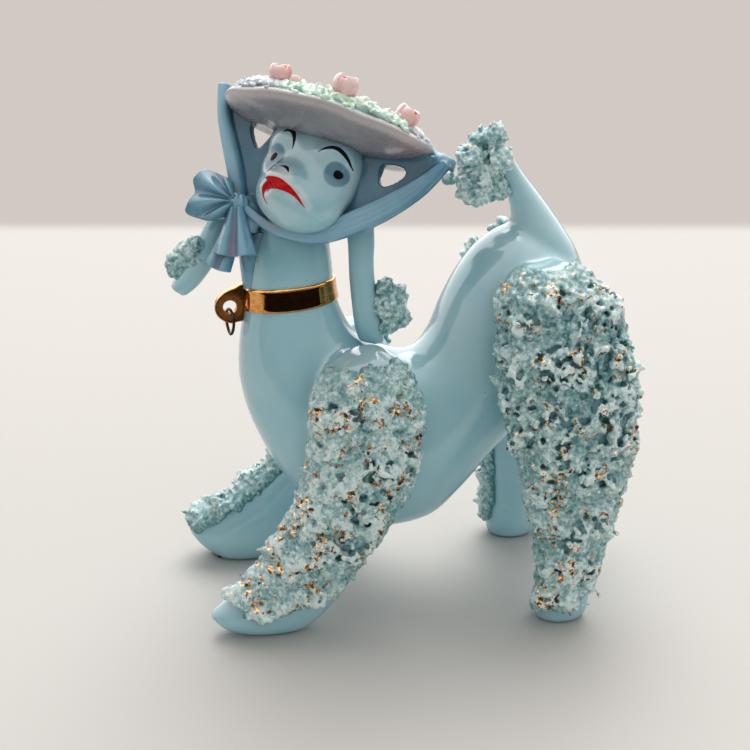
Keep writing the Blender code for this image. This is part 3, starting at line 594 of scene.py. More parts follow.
# ------------------------------------------------------------------- materials
class Paint:
    """Small helper that builds one node material."""

    def __init__(self, name):
        self.material = bpy.data.materials.new(name)
        self.material.use_nodes = True
        self.tree = self.material.node_tree
        self.shader = self.tree.nodes["Principled BSDF"]
        self.place = self.add("ShaderNodeTexCoord").outputs["Object"]

    def add(self, kind, **settings):
        """Add a node and set its properties."""
        node = self.tree.nodes.new(kind)
        for key, value in settings.items():
            setattr(node, key, value)
        return node

    def link(self, source, target):
        """Join an output, or set a plain value, to an input."""
        if isinstance(source, bpy.types.NodeSocket):
            self.tree.links.new(source, target)
        else:
            target.default_value = source

    def noise(self, grain, detail=3.0, roughness=0.55, stretch=(1, 1, 1), shift=0.0):
        """Noise whose lumps are about one grain, in millimetres, across."""
        mapping = self.add("ShaderNodeMapping")
        mapping.inputs["Scale"].default_value = stretch
        mapping.inputs["Location"].default_value = (shift, 0.0, 0.0)
        self.link(self.place, mapping.inputs["Vector"])
        node = self.add("ShaderNodeTexNoise")
        node.inputs["Scale"].default_value = 1.0 / (grain * MM)
        node.inputs["Detail"].default_value = detail
        node.inputs["Roughness"].default_value = roughness
        self.link(mapping.outputs["Vector"], node.inputs["Vector"])
        return node.outputs["Fac"]

    def cells(self, grain):
        """Distance to the nearest of scattered points one grain apart."""
        node = self.add("ShaderNodeTexVoronoi")
        node.inputs["Scale"].default_value = 1.0 / (grain * MM)
        self.link(self.place, node.inputs["Vector"])
        return node.outputs["Distance"]

    def remap(self, value, low, high, out_low=0.0, out_high=1.0):
        """Value moved from one range to another with soft ends."""
        node = self.add("ShaderNodeMapRange", interpolation_type="SMOOTHSTEP")
        self.link(value, node.inputs["Value"])
        node.inputs["From Min"].default_value = low
        node.inputs["From Max"].default_value = high
        node.inputs["To Min"].default_value = out_low
        node.inputs["To Max"].default_value = out_high
        return node.outputs["Result"]

    def maths(self, kind, first, second):
        """One arithmetic node."""
        node = self.add("ShaderNodeMath", operation=kind)
        self.link(first, node.inputs[0])
        self.link(second, node.inputs[1])
        return node.outputs["Value"]

    def mix(self, share, first, second):
        """Colour between two colours."""
        node = self.add("ShaderNodeMix", data_type="RGBA")
        self.link(share, node.inputs["Factor"])
        self.link(first, node.inputs[6])
        self.link(second, node.inputs[7])
        return node.outputs[2]

    def value_of(self, name):
        """Number stored on the points of the mesh."""
        return self.add("ShaderNodeAttribute", attribute_name=name).outputs["Fac"]

    def hollow(self, reach):
        """How open a spot is to its surroundings: 0 in a hollow, 1 in the open."""
        node = self.add("ShaderNodeAmbientOcclusion", samples=8)
        node.inputs["Distance"].default_value = reach * MM
        return node.outputs["AO"]

    def bump(self, height, depth, strength=1.0):
        """Surface relief of a depth in millimetres."""
        node = self.add("ShaderNodeBump")
        node.inputs["Strength"].default_value = strength
        node.inputs["Distance"].default_value = depth * MM
        self.link(height, node.inputs["Height"])
        self.link(node.outputs["Normal"], self.shader.inputs["Normal"])

    def finish(self, colour, roughness, metallic=0.0, coat=0.0):
        """Connect the result to the shader."""
        self.link(colour, self.shader.inputs["Base Color"])
        self.link(roughness, self.shader.inputs["Roughness"])
        self.link(metallic, self.shader.inputs["Metallic"])
        self.link(coat, self.shader.inputs["Coat Weight"])
        self.shader.inputs["Coat Roughness"].default_value = 0.04
        return self.material


def glaze_paint(name, base, deep, pale, pooling_and_shade=0.55, coat=0.5):
    """Glossy glaze, darker in hollows as pooled glaze and painted shade, with firing specks."""
    paint = Paint(name)
    cloud = paint.remap(paint.noise(9.0, 2.0), 0.35, 0.65)
    colour = paint.mix(paint.maths("MULTIPLY", cloud, 0.35), base, pale)
    colour = paint.mix(paint.value_of("deep"), colour, deep)
    colour = paint.mix(paint.value_of("pale"), colour, pale)
    # Darkening from the occlusion node: partly glaze pooled in hollows, partly painted shade where parts
    # shade each other.
    pooled_and_shaded = paint.remap(paint.hollow(7.0), 0.25, 0.95, pooling_and_shade, 0.0)
    colour = paint.mix(pooled_and_shaded, colour, deep)
    specks = paint.remap(paint.cells(2.6), 0.05, 0.085, 0.5, 0.0)
    rare = paint.remap(paint.noise(5.0, 1.0, shift=3.0), 0.58, 0.64)
    dark = tuple(0.35 * c for c in deep[:3]) + (1.0,)
    colour = paint.mix(paint.maths("MULTIPLY", specks, rare), colour, dark)
    paint.bump(paint.noise(2.4, 2.0), 0.03, 0.6)
    return paint.finish(colour, paint.remap(paint.noise(3.0), 0.3, 0.7, 0.10, 0.20), 0.0, coat)


# AQUA_DEEP is also the colour of painted shade, on the throat and in hollows where glaze pools as well;
# AQUA_PALE is the colour of painted highlights and of the mottling.
AQUA = (0.355, 0.640, 0.725, 1.0)
AQUA_DEEP = (0.100, 0.265, 0.330, 1.0)
AQUA_PALE = (0.470, 0.700, 0.745, 1.0)


def fur_paint():
    """Crumbled clay under glaze: pale crests, deep pits darkened further by painted shade, and gold flecks.
    """
    paint = Paint("fur_glaze")
    high = paint.value_of("height")
    tone = paint.maths("ADD", high, paint.remap(paint.noise(1.0, 4.0, 0.65), 0.3, 0.7, -0.34, 0.34))
    colour = paint.mix(paint.remap(tone, 0.05, 0.50), (0.080, 0.260, 0.275, 1), (0.310, 0.530, 0.540, 1))
    colour = paint.mix(paint.remap(tone, 0.45, 0.95), colour, (0.760, 0.920, 0.900, 1))
    # Painted shade in the pits, from the occlusion node.
    pit_shade = paint.remap(paint.hollow(1.8), 0.10, 0.75, 0.85, 0.0)
    colour = paint.mix(pit_shade, colour, (0.025, 0.120, 0.130, 1))
    pinholes = paint.remap(paint.cells(1.5), 0.10, 0.17, 0.8, 0.0)
    holed = paint.remap(paint.noise(4.0, 1.0, shift=9.0), 0.46, 0.56)
    colour = paint.mix(paint.maths("MULTIPLY", pinholes, holed), colour, (0.030, 0.090, 0.095, 1))
    cluster = paint.remap(paint.noise(5.0, 2.0, shift=7.0), 0.515, 0.575)
    crest = paint.remap(high, 0.25, 0.55)
    cluster = paint.maths("MULTIPLY", paint.maths("MULTIPLY", cluster, crest), paint.value_of("gilt"))
    fleck = paint.remap(paint.noise(1.25, 3.0, shift=5.0), 0.515, 0.545)
    metal = paint.maths("MULTIPLY", cluster, fleck)
    gold = paint.mix(paint.remap(paint.noise(0.9, 2.0, shift=2.0), 0.42, 0.56),
                     (0.050, 0.022, 0.014, 1), (0.660, 0.350, 0.135, 1))
    colour = paint.mix(metal, colour, gold)
    rough = paint.remap(paint.noise(1.1), 0.3, 0.7, 0.10, 0.34)
    rough = paint.maths("MULTIPLY", rough, paint.remap(metal, 0.0, 1.0, 1.0, 0.6))
    paint.bump(paint.noise(0.7, 4.0, 0.65), 0.30, 0.8)
    return paint.finish(colour, rough, metal, 0.3)


def hat_paint():
    """Satin lilac glaze, pinker at the sides, pale along the rim as a painted highlight of its lit edge,
    and darker in hollows as painted shade.
    """
    paint = Paint("hat_glaze")
    drift = paint.remap(paint.noise(12.0, 2.0), 0.3, 0.7)
    colour = paint.mix(drift, (0.240, 0.245, 0.270, 1), (0.290, 0.285, 0.312, 1))
    colour = paint.mix(paint.value_of("warm"), colour, (0.380, 0.290, 0.290, 1))
    # 'pale' paints the highlight along the lit rim.
    colour = paint.mix(paint.value_of("pale"), colour, (0.560, 0.530, 0.540, 1))
    colour = paint.mix(paint.value_of("deep"), colour, (0.230, 0.400, 0.440, 1))
    # Painted shade in hollows and on the underside near the head, from the occlusion node.
    pooled_and_shaded = paint.remap(paint.hollow(8.0), 0.2, 0.95, 0.6, 0.0)
    colour = paint.mix(pooled_and_shaded, colour, (0.120, 0.150, 0.190, 1))
    paint.bump(paint.noise(1.6, 3.0), 0.04, 0.6)
    return paint.finish(colour, paint.remap(paint.noise(2.5), 0.3, 0.7, 0.20, 0.34), 0.0, 0.2)


def crumb_paint(name, dark, mid, light, tint):
    """Tinted crumbs of the leaves and blossoms."""
    paint = Paint(name)
    tone = paint.maths("ADD", paint.value_of("height"),
                       paint.remap(paint.noise(0.9, 3.0), 0.3, 0.7, -0.25, 0.25))
    colour = paint.mix(paint.remap(tone, 0.1, 0.55), dark, mid)
    colour = paint.mix(paint.remap(tone, 0.5, 1.0), colour, light)
    colour = paint.mix(paint.remap(paint.noise(2.6, 1.0, shift=2.0), 0.52, 0.66, 0.0, 0.6), colour, tint)
    paint.bump(paint.noise(0.5, 3.0), 0.08, 0.6)
    return paint.finish(colour, paint.remap(paint.noise(0.8), 0.3, 0.7, 0.25, 0.45), 0.0, 0.3)


def rose_paint():
    """Pink petals, peach where the glaze is thin, cream at the edges and darker between the petals as
    painted shade.
    """
    paint = Paint("rose_clay")
    colour = paint.mix(paint.remap(paint.noise(1.8, 2.0), 0.35, 0.65),
                       (0.920, 0.470, 0.480, 1), (0.950, 0.590, 0.550, 1))
    colour = paint.mix(paint.remap(paint.value_of("height"), 0.45, 1.0, 0.0, 0.75), colour,
                       (0.980, 0.820, 0.790, 1))
    # Painted shade between the petals, from the occlusion node.
    pit_shade = paint.remap(paint.hollow(1.2), 0.2, 0.8, 0.6, 0.0)
    colour = paint.mix(pit_shade, colour, (0.680, 0.280, 0.290, 1))
    paint.bump(paint.noise(0.7, 3.0), 0.05, 0.5)
    return paint.finish(colour, paint.remap(paint.noise(0.9), 0.3, 0.7, 0.22, 0.36), 0.0, 0.3)


def gold_paint():
    """Fired gold lustre, brushed on thin and thick."""
    paint = Paint("gold_lustre")
    brushed = paint.noise(1.6, 3.0, stretch=(1, 1, 4))
    colour = paint.mix(paint.remap(brushed, 0.35, 0.65), (0.560, 0.230, 0.055, 1), (0.740, 0.400, 0.140, 1))
    rubbed = paint.remap(paint.noise(0.9, 4.0, 0.7), 0.66, 0.72, 0.0, 0.6)
    colour = paint.mix(rubbed, colour, (0.200, 0.080, 0.030, 1))
    dull = paint.value_of("dull")
    colour = paint.mix(dull, colour, paint.mix(paint.noise(1.4, 3.0), (0.330, 0.090, 0.025, 1),
                                               (0.620, 0.260, 0.070, 1)))
    paint.bump(paint.noise(1.2, 2.0), 0.02, 0.5)
    rough = paint.remap(brushed, 0.3, 0.7, 0.03, 0.09)
    rough = paint.maths("ADD", rough, paint.remap(dull, 0.0, 1.0, 0.0, 0.30))
    metal = paint.remap(dull, 0.0, 1.0, 1.0, 0.75)
    return paint.finish(colour, rough, metal)


def wire_paint():
    """Darkened brass wire with rubbed spots."""
    paint = Paint("dark_wire")
    rubbed = paint.remap(paint.noise(0.8, 3.0), 0.55, 0.68)
    colour = paint.mix(rubbed, (0.040, 0.032, 0.028, 1), (0.220, 0.120, 0.060, 1))
    paint.bump(paint.noise(0.4, 3.0), 0.03, 0.6)
    return paint.finish(colour, paint.remap(paint.noise(0.6), 0.3, 0.7, 0.3, 0.5), 0.9)


def enamel_paint(name, thin, thick):
    """Brushed overglaze colour, deeper where the brush was loaded."""
    paint = Paint(name)
    colour = paint.mix(paint.remap(paint.noise(1.0, 3.0), 0.35, 0.65), thin, thick)
    paint.bump(paint.noise(0.5, 2.0), 0.01, 0.4)
    paint.shader.inputs["Specular IOR Level"].default_value = 0.08
    return paint.finish(colour, paint.remap(paint.noise(0.8), 0.3, 0.7, 0.18, 0.30))


def floor_paint():
    """Pale table that turns into the backdrop; near the camera it shows almost black in reflections, a
    painted dark reflection.
    """
    paint = Paint("floor")
    place = paint.add("ShaderNodeSeparateXYZ")
    paint.link(paint.place, place.inputs["Vector"])
    away = paint.maths("ADD", paint.maths("MULTIPLY", place.outputs["Y"], 0.985),
                       paint.maths("MULTIPLY", place.outputs["X"], 0.174))
    far = paint.remap(away, 0.326, 0.348)
    near = paint.remap(place.outputs["Y"], -0.150, -0.090, 1.0, 0.0)
    grain = paint.remap(paint.noise(120.0, 2.0), 0.3, 0.7, 0.0, 0.10)
    colour = paint.mix(grain, (0.640, 0.616, 0.588, 1), (0.600, 0.576, 0.550, 1))
    paint.finish(colour, 0.6)
    reflected = paint.add("ShaderNodeLightPath").outputs["Is Glossy Ray"]
    wall = paint.add("ShaderNodeEmission")
    wall.inputs["Color"].default_value = (0.640, 0.585, 0.545, 1)
    # Near-black emission seen only in reflections of the near floor: a painted dark reflection.
    dark = paint.add("ShaderNodeEmission")
    dark.inputs["Color"].default_value = (0.012, 0.010, 0.010, 1)
    back = paint.add("ShaderNodeMixShader")
    paint.link(far, back.inputs["Fac"])
    paint.link(paint.shader.outputs["BSDF"], back.inputs[1])
    paint.link(wall.outputs["Emission"], back.inputs[2])
    front = paint.add("ShaderNodeMixShader")
    paint.link(paint.maths("MULTIPLY", near, reflected), front.inputs["Fac"])
    paint.link(back.outputs["Shader"], front.inputs[1])
    paint.link(dark.outputs["Emission"], front.inputs[2])
    output = paint.tree.nodes["Material Output"]
    paint.link(front.outputs["Shader"], output.inputs["Surface"])
    return paint.material


# --------------------------------------------------------------- clay crumbs
def crumbs(centres, radii, rng, squash=0.35):
    """Irregular balls of clay, one for each centre."""
    template, faces = ball(2)
    count = len(centres)
    turn = rng.normal(size=(count, 3, 3))
    turn, _ = np.linalg.qr(turn)
    shape = 1.0 + squash * rng.uniform(-1.0, 1.0, (count, 1, 3))
    bumps = 1.0 + 0.07 * rng.normal(size=(count, len(template), 1))
    local = template[None] * shape * bumps * radii[:, None, None]
    points = np.einsum("nij,nkj->nki", turn, local) + centres[:, None]
    shifted = [
        tuple(i + n * len(template) for i in face) for n in range(count) for face in faces]
    return points.reshape(-1, 3), shifted


def worms(starts, directions, lengths, radii, rng):
    """Short curled threads of clay, as chains of balls."""
    centres = []
    sizes = []
    for step in range(4):
        directions = unit(directions + 0.45 * rng.normal(size=directions.shape))
        starts = starts + directions * (lengths / 4.0)[:, None]
        centres.append(starts)
        sizes.append(radii * (1.0 - 0.13 * step))
    return np.vstack(centres), np.concatenate(sizes)


def height_over(obj, ground, full):
    """Share of the full height that each point stands over the ground mesh."""
    tree = BVHTree.FromPolygons([Vector(p) for p in ground[0]], ground[1])
    heights = [tree.find_nearest(Vector(p))[3] for p in coordinates(obj)]
    return np.clip(np.array(heights) / full, 0.0, 1.3)


def crumbled(name, layers, voxel, smoothing, ground, full):
    """Fuse layers of crumbs into one porous skin."""
    obj = as_object(name, join(layers))
    fuse(obj, voxel, smoothing, 0.4)
    drop_fragments(obj)
    points = coordinates(obj)
    points[:, 2] = np.maximum(points[:, 2], 0.0)
    set_coordinates(obj, points)
    vertex_values(obj, "height", height_over(obj, ground, full))
    return obj


# ------------------------------------------------------------------ the pieces
PAINTS = {}


def build_body():
    """Body, legs and tail luted together under one glaze."""
    shapes = [
        limb(TORSO_ROWS, 1.0, 90, 72),
        limb(LEFT_FORELEG_ROWS, -1.0, 60, 48, sole=True),
        limb(RIGHT_FORELEG_ROWS, 1.0, 60, 48, sole=True),
        limb(HIND_LEG_ROWS, -1.0, 60, 48, sole=True),
        limb(HIND_LEG_ROWS, 1.0, 60, 48, sole=True),
        limb(TAIL_ROWS, 1.0, 40, 32),
    ]
    body = as_object("dog_body", join(shapes))
    fuse(body, FILLET_VOXEL, 10)
    fuse(body, BODY_VOXEL, 3)
    points = coordinates(body)
    points[:, 2] = np.maximum(points[:, 2], 0.0)
    set_coordinates(body, points)
    drop_fragments(body)
    points = coordinates(body)
    # Painted shade under the head darkens the throat ('deep'); painted highlights lighten the rump, the
    # shoulder and the saddle of the back ('pale').
    throat = smoothstep(16.0, 5.0, np.linalg.norm(points - np.array((-27.0, 0.0, 92.0)), axis=1))
    rump_highlight = smoothstep(26.0, 8.0, np.linalg.norm(points - np.array((34.0, -2.0, 88.0)), axis=1))
    shoulder_highlight = smoothstep(13.0, 4.0, np.linalg.norm(points - np.array((-10.0, -17.0, 65.0)), axis=1))
    saddle_highlight = smoothstep(18.0, 6.0, np.linalg.norm(points - np.array((8.0, -8.0, 66.0)), axis=1))
    vertex_values(body, "deep", 0.85 * throat)
    vertex_values(body, "pale", np.maximum(0.5 * rump_highlight, np.maximum(shoulder_highlight, 0.8 * saddle_highlight)))
    finish_piece(body, PAINTS["glaze"], (
        "torso", "left_foreleg", "right_foreleg", "left_hind_leg", "right_hind_leg", "tail"))


def build_ears():
    """Both ears, hanging from behind the scarf."""
    for name, rows in (("left_ear", LEFT_EAR_ROWS), ("right_ear", RIGHT_EAR_ROWS)):
        ear = as_object("dog_" + name, limb(rows, -1.0, 40, 36))
        fuse(ear, BODY_VOXEL, 3)
        points = coordinates(ear)
        vertex_values(ear, "deep", 0.6 * smoothstep(82.0, 100.0, points[:, 2]))
        vertex_values(ear, "pale", np.zeros(len(points)))
        finish_piece(ear, PAINTS["glaze"], (name,))


def build_leg_fur():
    """Crumbled clay trims on the outer faces of the legs."""
    for number, (name, plan) in enumerate(LEG_FUR.items()):
        rows, side, first, last, thick, top_from, top_to, low_from, low_to, gilded = plan
        rng = np.random.default_rng(11 + number)
        span = len(rows) - 1

        def spots(count, spill):
            """Random places over the trim with their outward directions."""
            down = rng.uniform(-spill, 1.0 + spill, count)
            along = rng.uniform(-spill, 1.0 + spill, count)
            start = top_from + (low_from - top_from) * np.clip(down, 0, 1)
            stop = top_to + (low_to - top_to) * np.clip(down, 0, 1)
            degrees = start + (stop - start) * along
            sampled = spline(rows, (first + (last - first) * down) * span)
            base = section(sampled, side, 0.0, degrees)
            out = unit(section(sampled, side, 1.0, degrees) - base)
            rim = np.minimum(np.minimum(down, 1 - down) * 60.0, np.minimum(along, 1 - along) * 30.0)
            keep = np.ones(count, bool)
            if name in TRIM_ENDS:
                keep = base[:, 2] > np.interp(base[:, 0], *zip(*TRIM_ENDS[name])) + 0.8
            return base[keep], out[keep], rim[keep]

        base, out, rim = spots(1500, 0.0)
        low = crumbs(base + out * rng.uniform(0.0, 0.6, (len(base), 1)),
                     rng.uniform(0.8, 1.25, len(base)), rng)

        def relief(base, rim):
            """Height of the modelled lumps over the leg."""
            lump = 0.5 + 0.7 * noise_at(base, 5.6, number) + 0.5 * noise_at(base, 2.6, 50.0 + number)
            return thick * np.clip(lump, 0.0, 1.1) * (0.35 + 0.65 * smoothstep(-1.0, 5.0, rim))

        base, out, rim = spots(1100, 0.01)
        tall = relief(base, rim)
        mass = crumbs(base + out * (tall * rng.uniform(0.35, 0.8, len(base)))[:, None],
                      rng.uniform(0.75, 1.45, len(base)), rng)
        base, out, rim = spots(2600, 0.015)
        tall = relief(base, rim)
        grit = crumbs(base + out * (tall * rng.uniform(0.75, 1.08, len(base)) + 0.35)[:, None],
                      rng.uniform(0.28, 0.75, len(base)), rng)
        base, out, rim = spots(130, 0.02)
        tall = relief(base, rim)
        heading = unit(out * 0.4 + unit(rng.normal(size=out.shape)))
        centres, sizes = worms(base + out * (tall * 0.8)[:, None], heading,
                               rng.uniform(1.2, 3.4, len(base)),
                               rng.uniform(0.5, 0.85, len(base)), rng)
        curls = crumbs(centres, sizes, rng)
        layers = [low, mass, grit, curls]
        if name == "right_hind_leg":
            strays = [(np.array(centre), radius) for centre, radius in STRAY_LUMPS]
            spots_near = np.vstack([
                centre + rng.normal(size=(14, 3)) * radius * 0.45 for centre, radius in strays])
            layers.append(crumbs(spots_near, rng.uniform(0.5, 1.0, len(spots_near)), rng))
            layers.append(crumbs(np.array([centre - (0.0, 0.0, 1.6) for centre, _ in strays]),
                                 np.full(len(strays), 1.5), rng))
        ground = limb(rows, side, 40, 36, sole=True)
        fur = crumbled("fur_" + name, layers, CRUMB_VOXEL, 2, ground, thick)
        vertex_values(fur, "gilt", np.full(len(fur.data.vertices), 1.0 if gilded else 0.0))
        finish_piece(fur, PAINTS["fur"], (name + "_fur",))


def build_tufts():
    """Crumbled clay pompons of the tail and ears, each made of a few lobes."""
    for number, (name, (gilt_from, lobes)) in enumerate(TUFTS.items()):
        rng = np.random.default_rng(41 + number)
        layers = []
        cores = []
        points, faces = ball(3)
        for x, y, z, radius in lobes:
            centre = np.array((x, y, z))
            cores.append((centre + points * radius * 0.55, faces))
            way = unit(rng.normal(size=(int(15 * radius), 3)))
            layers.append(crumbs(centre + way * radius * rng.uniform(0.3, 0.66, (len(way), 1)),
                                 radius * rng.uniform(0.26, 0.42, len(way)), rng))
            way = unit(rng.normal(size=(int(20 * radius ** 1.6), 3)))
            layers.append(crumbs(centre + way * radius * rng.uniform(0.74, 1.0, (len(way), 1)),
                                 rng.uniform(0.3, 0.75, len(way)), rng))
            way = unit(rng.normal(size=(int(2 * radius), 3)))
            centres, sizes = worms(centre + way * radius * 0.8, way,
                                   rng.uniform(0.8, 2.0, len(way)),
                                   rng.uniform(0.45, 0.7, len(way)), rng)
            layers.append(crumbs(centres, sizes, rng))
        ground = join(cores)
        tuft = crumbled("fur_" + name, cores + layers, CRUMB_VOXEL, 3, ground, 2.6)
        heights = coordinates(tuft)[:, 2]
        vertex_values(tuft, "gilt", smoothstep(gilt_from - 1.0, gilt_from + 1.0, heights))
        finish_piece(tuft, PAINTS["fur"], (name,))


# ----------------------------------------------------------------- the head
# Sculpting strokes in head axes: points, height of the stroke, its radius.
LIP = [(-5.6, 11.5, -6.8), (-5.3, 12.5, -4.9), (-3.0, 15.0, -3.6), (-1.0, 15.8, -3.2),
       (1.2, 14.8, -3.2), (2.4, 13.8, -4.1), (3.8, 13.0, -5.0), (5.4, 12.2, -6.0), (6.6, 11.2, -7.2)]
STROKES = [
    ([(-5.8, 9.2, 0.9)], -0.6, 2.3),
    ([(-5.8, 9.2, 0.8)], 0.45, 1.3),
    ([(9.3, 7.4, 1.8)], -0.8, 3.2),
    ([(9.3, 7.4, 1.8)], 0.55, 1.8),
    ([(-5.8, 9.8, 6.4), (-4.6, 9.6, 7.4), (-2.6, 9.8, 6.0)], 0.4, 1.5),
    ([(4.4, 10.0, 5.2), (7.4, 8.8, 6.8), (10.0, 5.6, 5.4)], 0.45, 1.7),
    (LIP, 0.55, 1.1),
    ([(-4.5, 12.2, -7.0), (-3.0, 13.8, -5.7), (-0.8, 14.6, -5.2), (1.4, 13.8, -5.4),
      (3.4, 13.0, -6.2)], -1.1, 1.1),
    ([(6.0, 11.6, -8.0), (7.4, 10.2, -8.9), (9.0, 6.0, -10.2)], -0.3, 0.6),
]
# Painted strokes in the head's side-up plane: side, up, half width.
BROW_RIGHT = [(-5.7, 6.6, 0.10), (-4.7, 7.4, 0.36), (-3.6, 7.2, 0.44), (-2.8, 6.2, 0.38),
              (-2.4, 5.0, 0.26), (-2.2, 3.5, 0.06)]
BROW_LEFT = [(3.9, 4.7, 0.06), (4.8, 5.7, 0.20), (6.3, 6.7, 0.38), (7.8, 6.9, 0.46),
             (9.2, 6.3, 0.42), (10.2, 5.3, 0.26), (10.9, 3.9, 0.05)]


def head_shape():
    """Directions, faces and skin distance of the head in its own axes."""
    ways, faces = ball(7)
    total = np.zeros(len(ways))
    for cx, cy, cz, rx, ry, rz in HEAD_BALLS:
        radii = np.array((rx, ry, rz))
        d = ways / radii
        c = np.array((cx, cy, cz)) / radii
        a = (d * d).sum(1)
        b = d @ c
        inside = b * b - a * (c @ c - 1.0)
        reach = np.where(inside > 0.0, (b + np.sqrt(np.maximum(inside, 0.0))) / a, 0.0)
        total += np.maximum(reach, 0.0) ** HEAD_BLEND
    return ways, faces, total ** (1.0 / HEAD_BLEND)


def stroke_distance(points, path):
    """Distance of points to a path of straight lengths."""
    path = np.array(path, float)
    if len(path) == 1:
        return np.linalg.norm(points - path[0], axis=1)
    best = np.full(len(points), 1e9)
    for start, stop in zip(path, path[1:]):
        along = stop - start
        t = np.clip((points - start) @ along / (along @ along), 0.0, 1.0)
        best = np.minimum(best, np.linalg.norm(points - start - t[:, None] * along, axis=1))
    return best


def build_head():
    """Sculpted head; returns its skin for the painted features."""
    ways, faces, reach = head_shape()
    points = ways * reach[:, None]
    push = np.zeros(len(points))
    for path, height, radius in STROKES:
        push += height * np.exp(-(stroke_distance(points, path) / radius) ** 2)
    points = points + ways * push[:, None]
    head = as_object("dog_head", (from_head(*points.T), faces))
    soften = head.modifiers.new("soften", "SMOOTH")
    soften.iterations = 3
    apply_modifiers(head)
    skin = coordinates(head)
    local = to_head(skin)
    right_eye = smoothstep(1.12, 0.92, np.linalg.norm(
        (local - np.array((-5.6, 9.5, 0.5))) / np.array((2.3, 7.0, 3.3)), axis=1))
    left_eye = smoothstep(1.12, 0.92, np.linalg.norm(
        (local - np.array((8.7, 7.0, 1.6))) / np.array((2.3, 7.0, 2.7)), axis=1))
    nose = smoothstep(4.0, 2.4, np.linalg.norm(local - np.array((-1.4, 15.4, -3.2)), axis=1))
    lip = smoothstep(1.4, 0.5, stroke_distance(local, LIP))
    # The eye patches are the glaze's own blue airbrush; 'shaded' is painted shade under the hat, and the
    # back of the head is made darker.
    back = smoothstep(3.0, -3.0, local[:, 1])
    shaded = 0.7 * smoothstep(6.5, 11.5, local[:, 2])
    deep = np.clip(np.maximum(0.8 * np.maximum(right_eye, left_eye), back + shaded), 0.0, 1.0)
    vertex_values(head, "deep", deep)
    vertex_values(head, "pale", np.clip(nose + 0.7 * lip, 0.0, 1.0))
    tree = BVHTree.FromPolygons(
        [Vector(p) for p in skin], [tuple(f.vertices) for f in head.data.polygons])
    finish_piece(head, PAINTS["face"], ("head",))
    return tree


def project(tree, side, up, lift):
    """Point on the front of the head at a side and height, lifted off its skin."""
    start = Vector(from_head(side, 40.0, up))
    hit, normal, _, _ = tree.ray_cast(start, Vector(-HEAD_AXES[1]))
    return np.array(hit + normal * lift)


def painted(name, tree, stroke, paint, count=36, across=7):
    """Thin brushed layer along a stroke on the head's skin."""
    line = evenly(stroke, count)
    along = np.gradient(line[:, :2], axis=0)
    normal = unit(np.stack([-along[:, 1], along[:, 0]], -1))
    layers = []
    for lift in (-0.25, 0.06):
        grid = []
        for k in range(across):
            share = 2.0 * k / (across - 1) - 1.0
            spots = line[:, :2] + normal * (line[:, 2] * share)[:, None]
            fade = lift if abs(share) < 0.99 or lift < 0 else 0.01
            grid.append([project(tree, s, u, fade) for s, u in spots])
        layers.append(grid)
    layer = as_object(name, slab(layers[0], layers[1]))
    return finish_piece(layer, paint)


def oval(side, up, half_long, half_short, tilt):
    """Stroke that fills an oval whose long axis is tilted from upright."""
    turn = math.radians(tilt)
    steps = np.linspace(-1.0, 1.0, 13)
    return [(side + half_long * t * math.sin(turn), up + half_long * t * math.cos(turn),
             max(half_short * math.sqrt(max(1.0 - t * t, 0.0)), 0.02)) for t in steps]


def build_face(tree):
    """Painted eyes, brows, nose mark and mouth."""
    black = PAINTS["black_enamel"]
    painted("brow_right", tree, BROW_RIGHT, black)
    painted("brow_left", tree, BROW_LEFT, black)
    painted("pupil_right", tree, oval(-5.9, 0.7, 1.1, 0.66, 18.0), black)
    painted("pupil_left", tree, oval(9.1, 1.7, 0.98, 0.80, 10.0), black)
    painted("nose_mark", tree, [(-1.9, -1.2, 0.05), (-0.9, -0.9, 0.26), (0.1, -1.1, 0.32),
                                (0.9, -1.9, 0.06)], black)
    painted("mouth", tree, [
        (-2.6, -9.9, 0.05), (-3.5, -9.1, 0.12), (-4.3, -8.2, 0.22), (-4.6, -7.0, 0.5),
        (-4.2, -6.2, 0.85), (-3.0, -5.4, 1.1), (-1.2, -5.0, 1.15), (0.2, -4.9, 1.1),
        (1.5, -5.2, 0.85), (3.0, -5.8, 0.5), (4.7, -6.7, 0.32), (6.3, -7.9, 0.05)],
        PAINTS["red_enamel"], 70, 11)


def build_hat():
    """Shallow domed sun hat."""
    profile = evenly(HAT_PROFILE, 110)[1:-1]
    turns = np.linspace(0.0, 2 * math.pi, 160, endpoint=False)
    rings = []
    for share, height in profile:
        radius = max(share, 0.002) * HAT_RADIUS
        ripple = 0.25 * share ** 3 * np.sin(5.0 * turns + 0.7) + 0.12 * share * np.sin(11.0 * turns)
        rings.append(from_hat(radius * np.cos(turns), radius * np.sin(turns), height + ripple))
    hat = as_object("sun_hat", loft(rings))
    local = to_hat(coordinates(hat))
    share = np.hypot(local[:, 0], local[:, 1]) / HAT_RADIUS
    rim = smoothstep(0.93, 0.985, share)
    upper = smoothstep(HAT_RIM_HEIGHT + 0.6, HAT_RIM_HEIGHT + 1.6, local[:, 2])
    vertex_values(hat, "warm", smoothstep(0.62, 1.0, np.abs(local[:, 0]) / HAT_RADIUS))
    # The pale rim is a painted highlight of the brim's edge lit from above.
    vertex_values(hat, "pale", 0.75 * rim)
    vertex_values(hat, "deep", 0.8 * upper)
    finish_piece(hat, PAINTS["hat"], ("hat",))


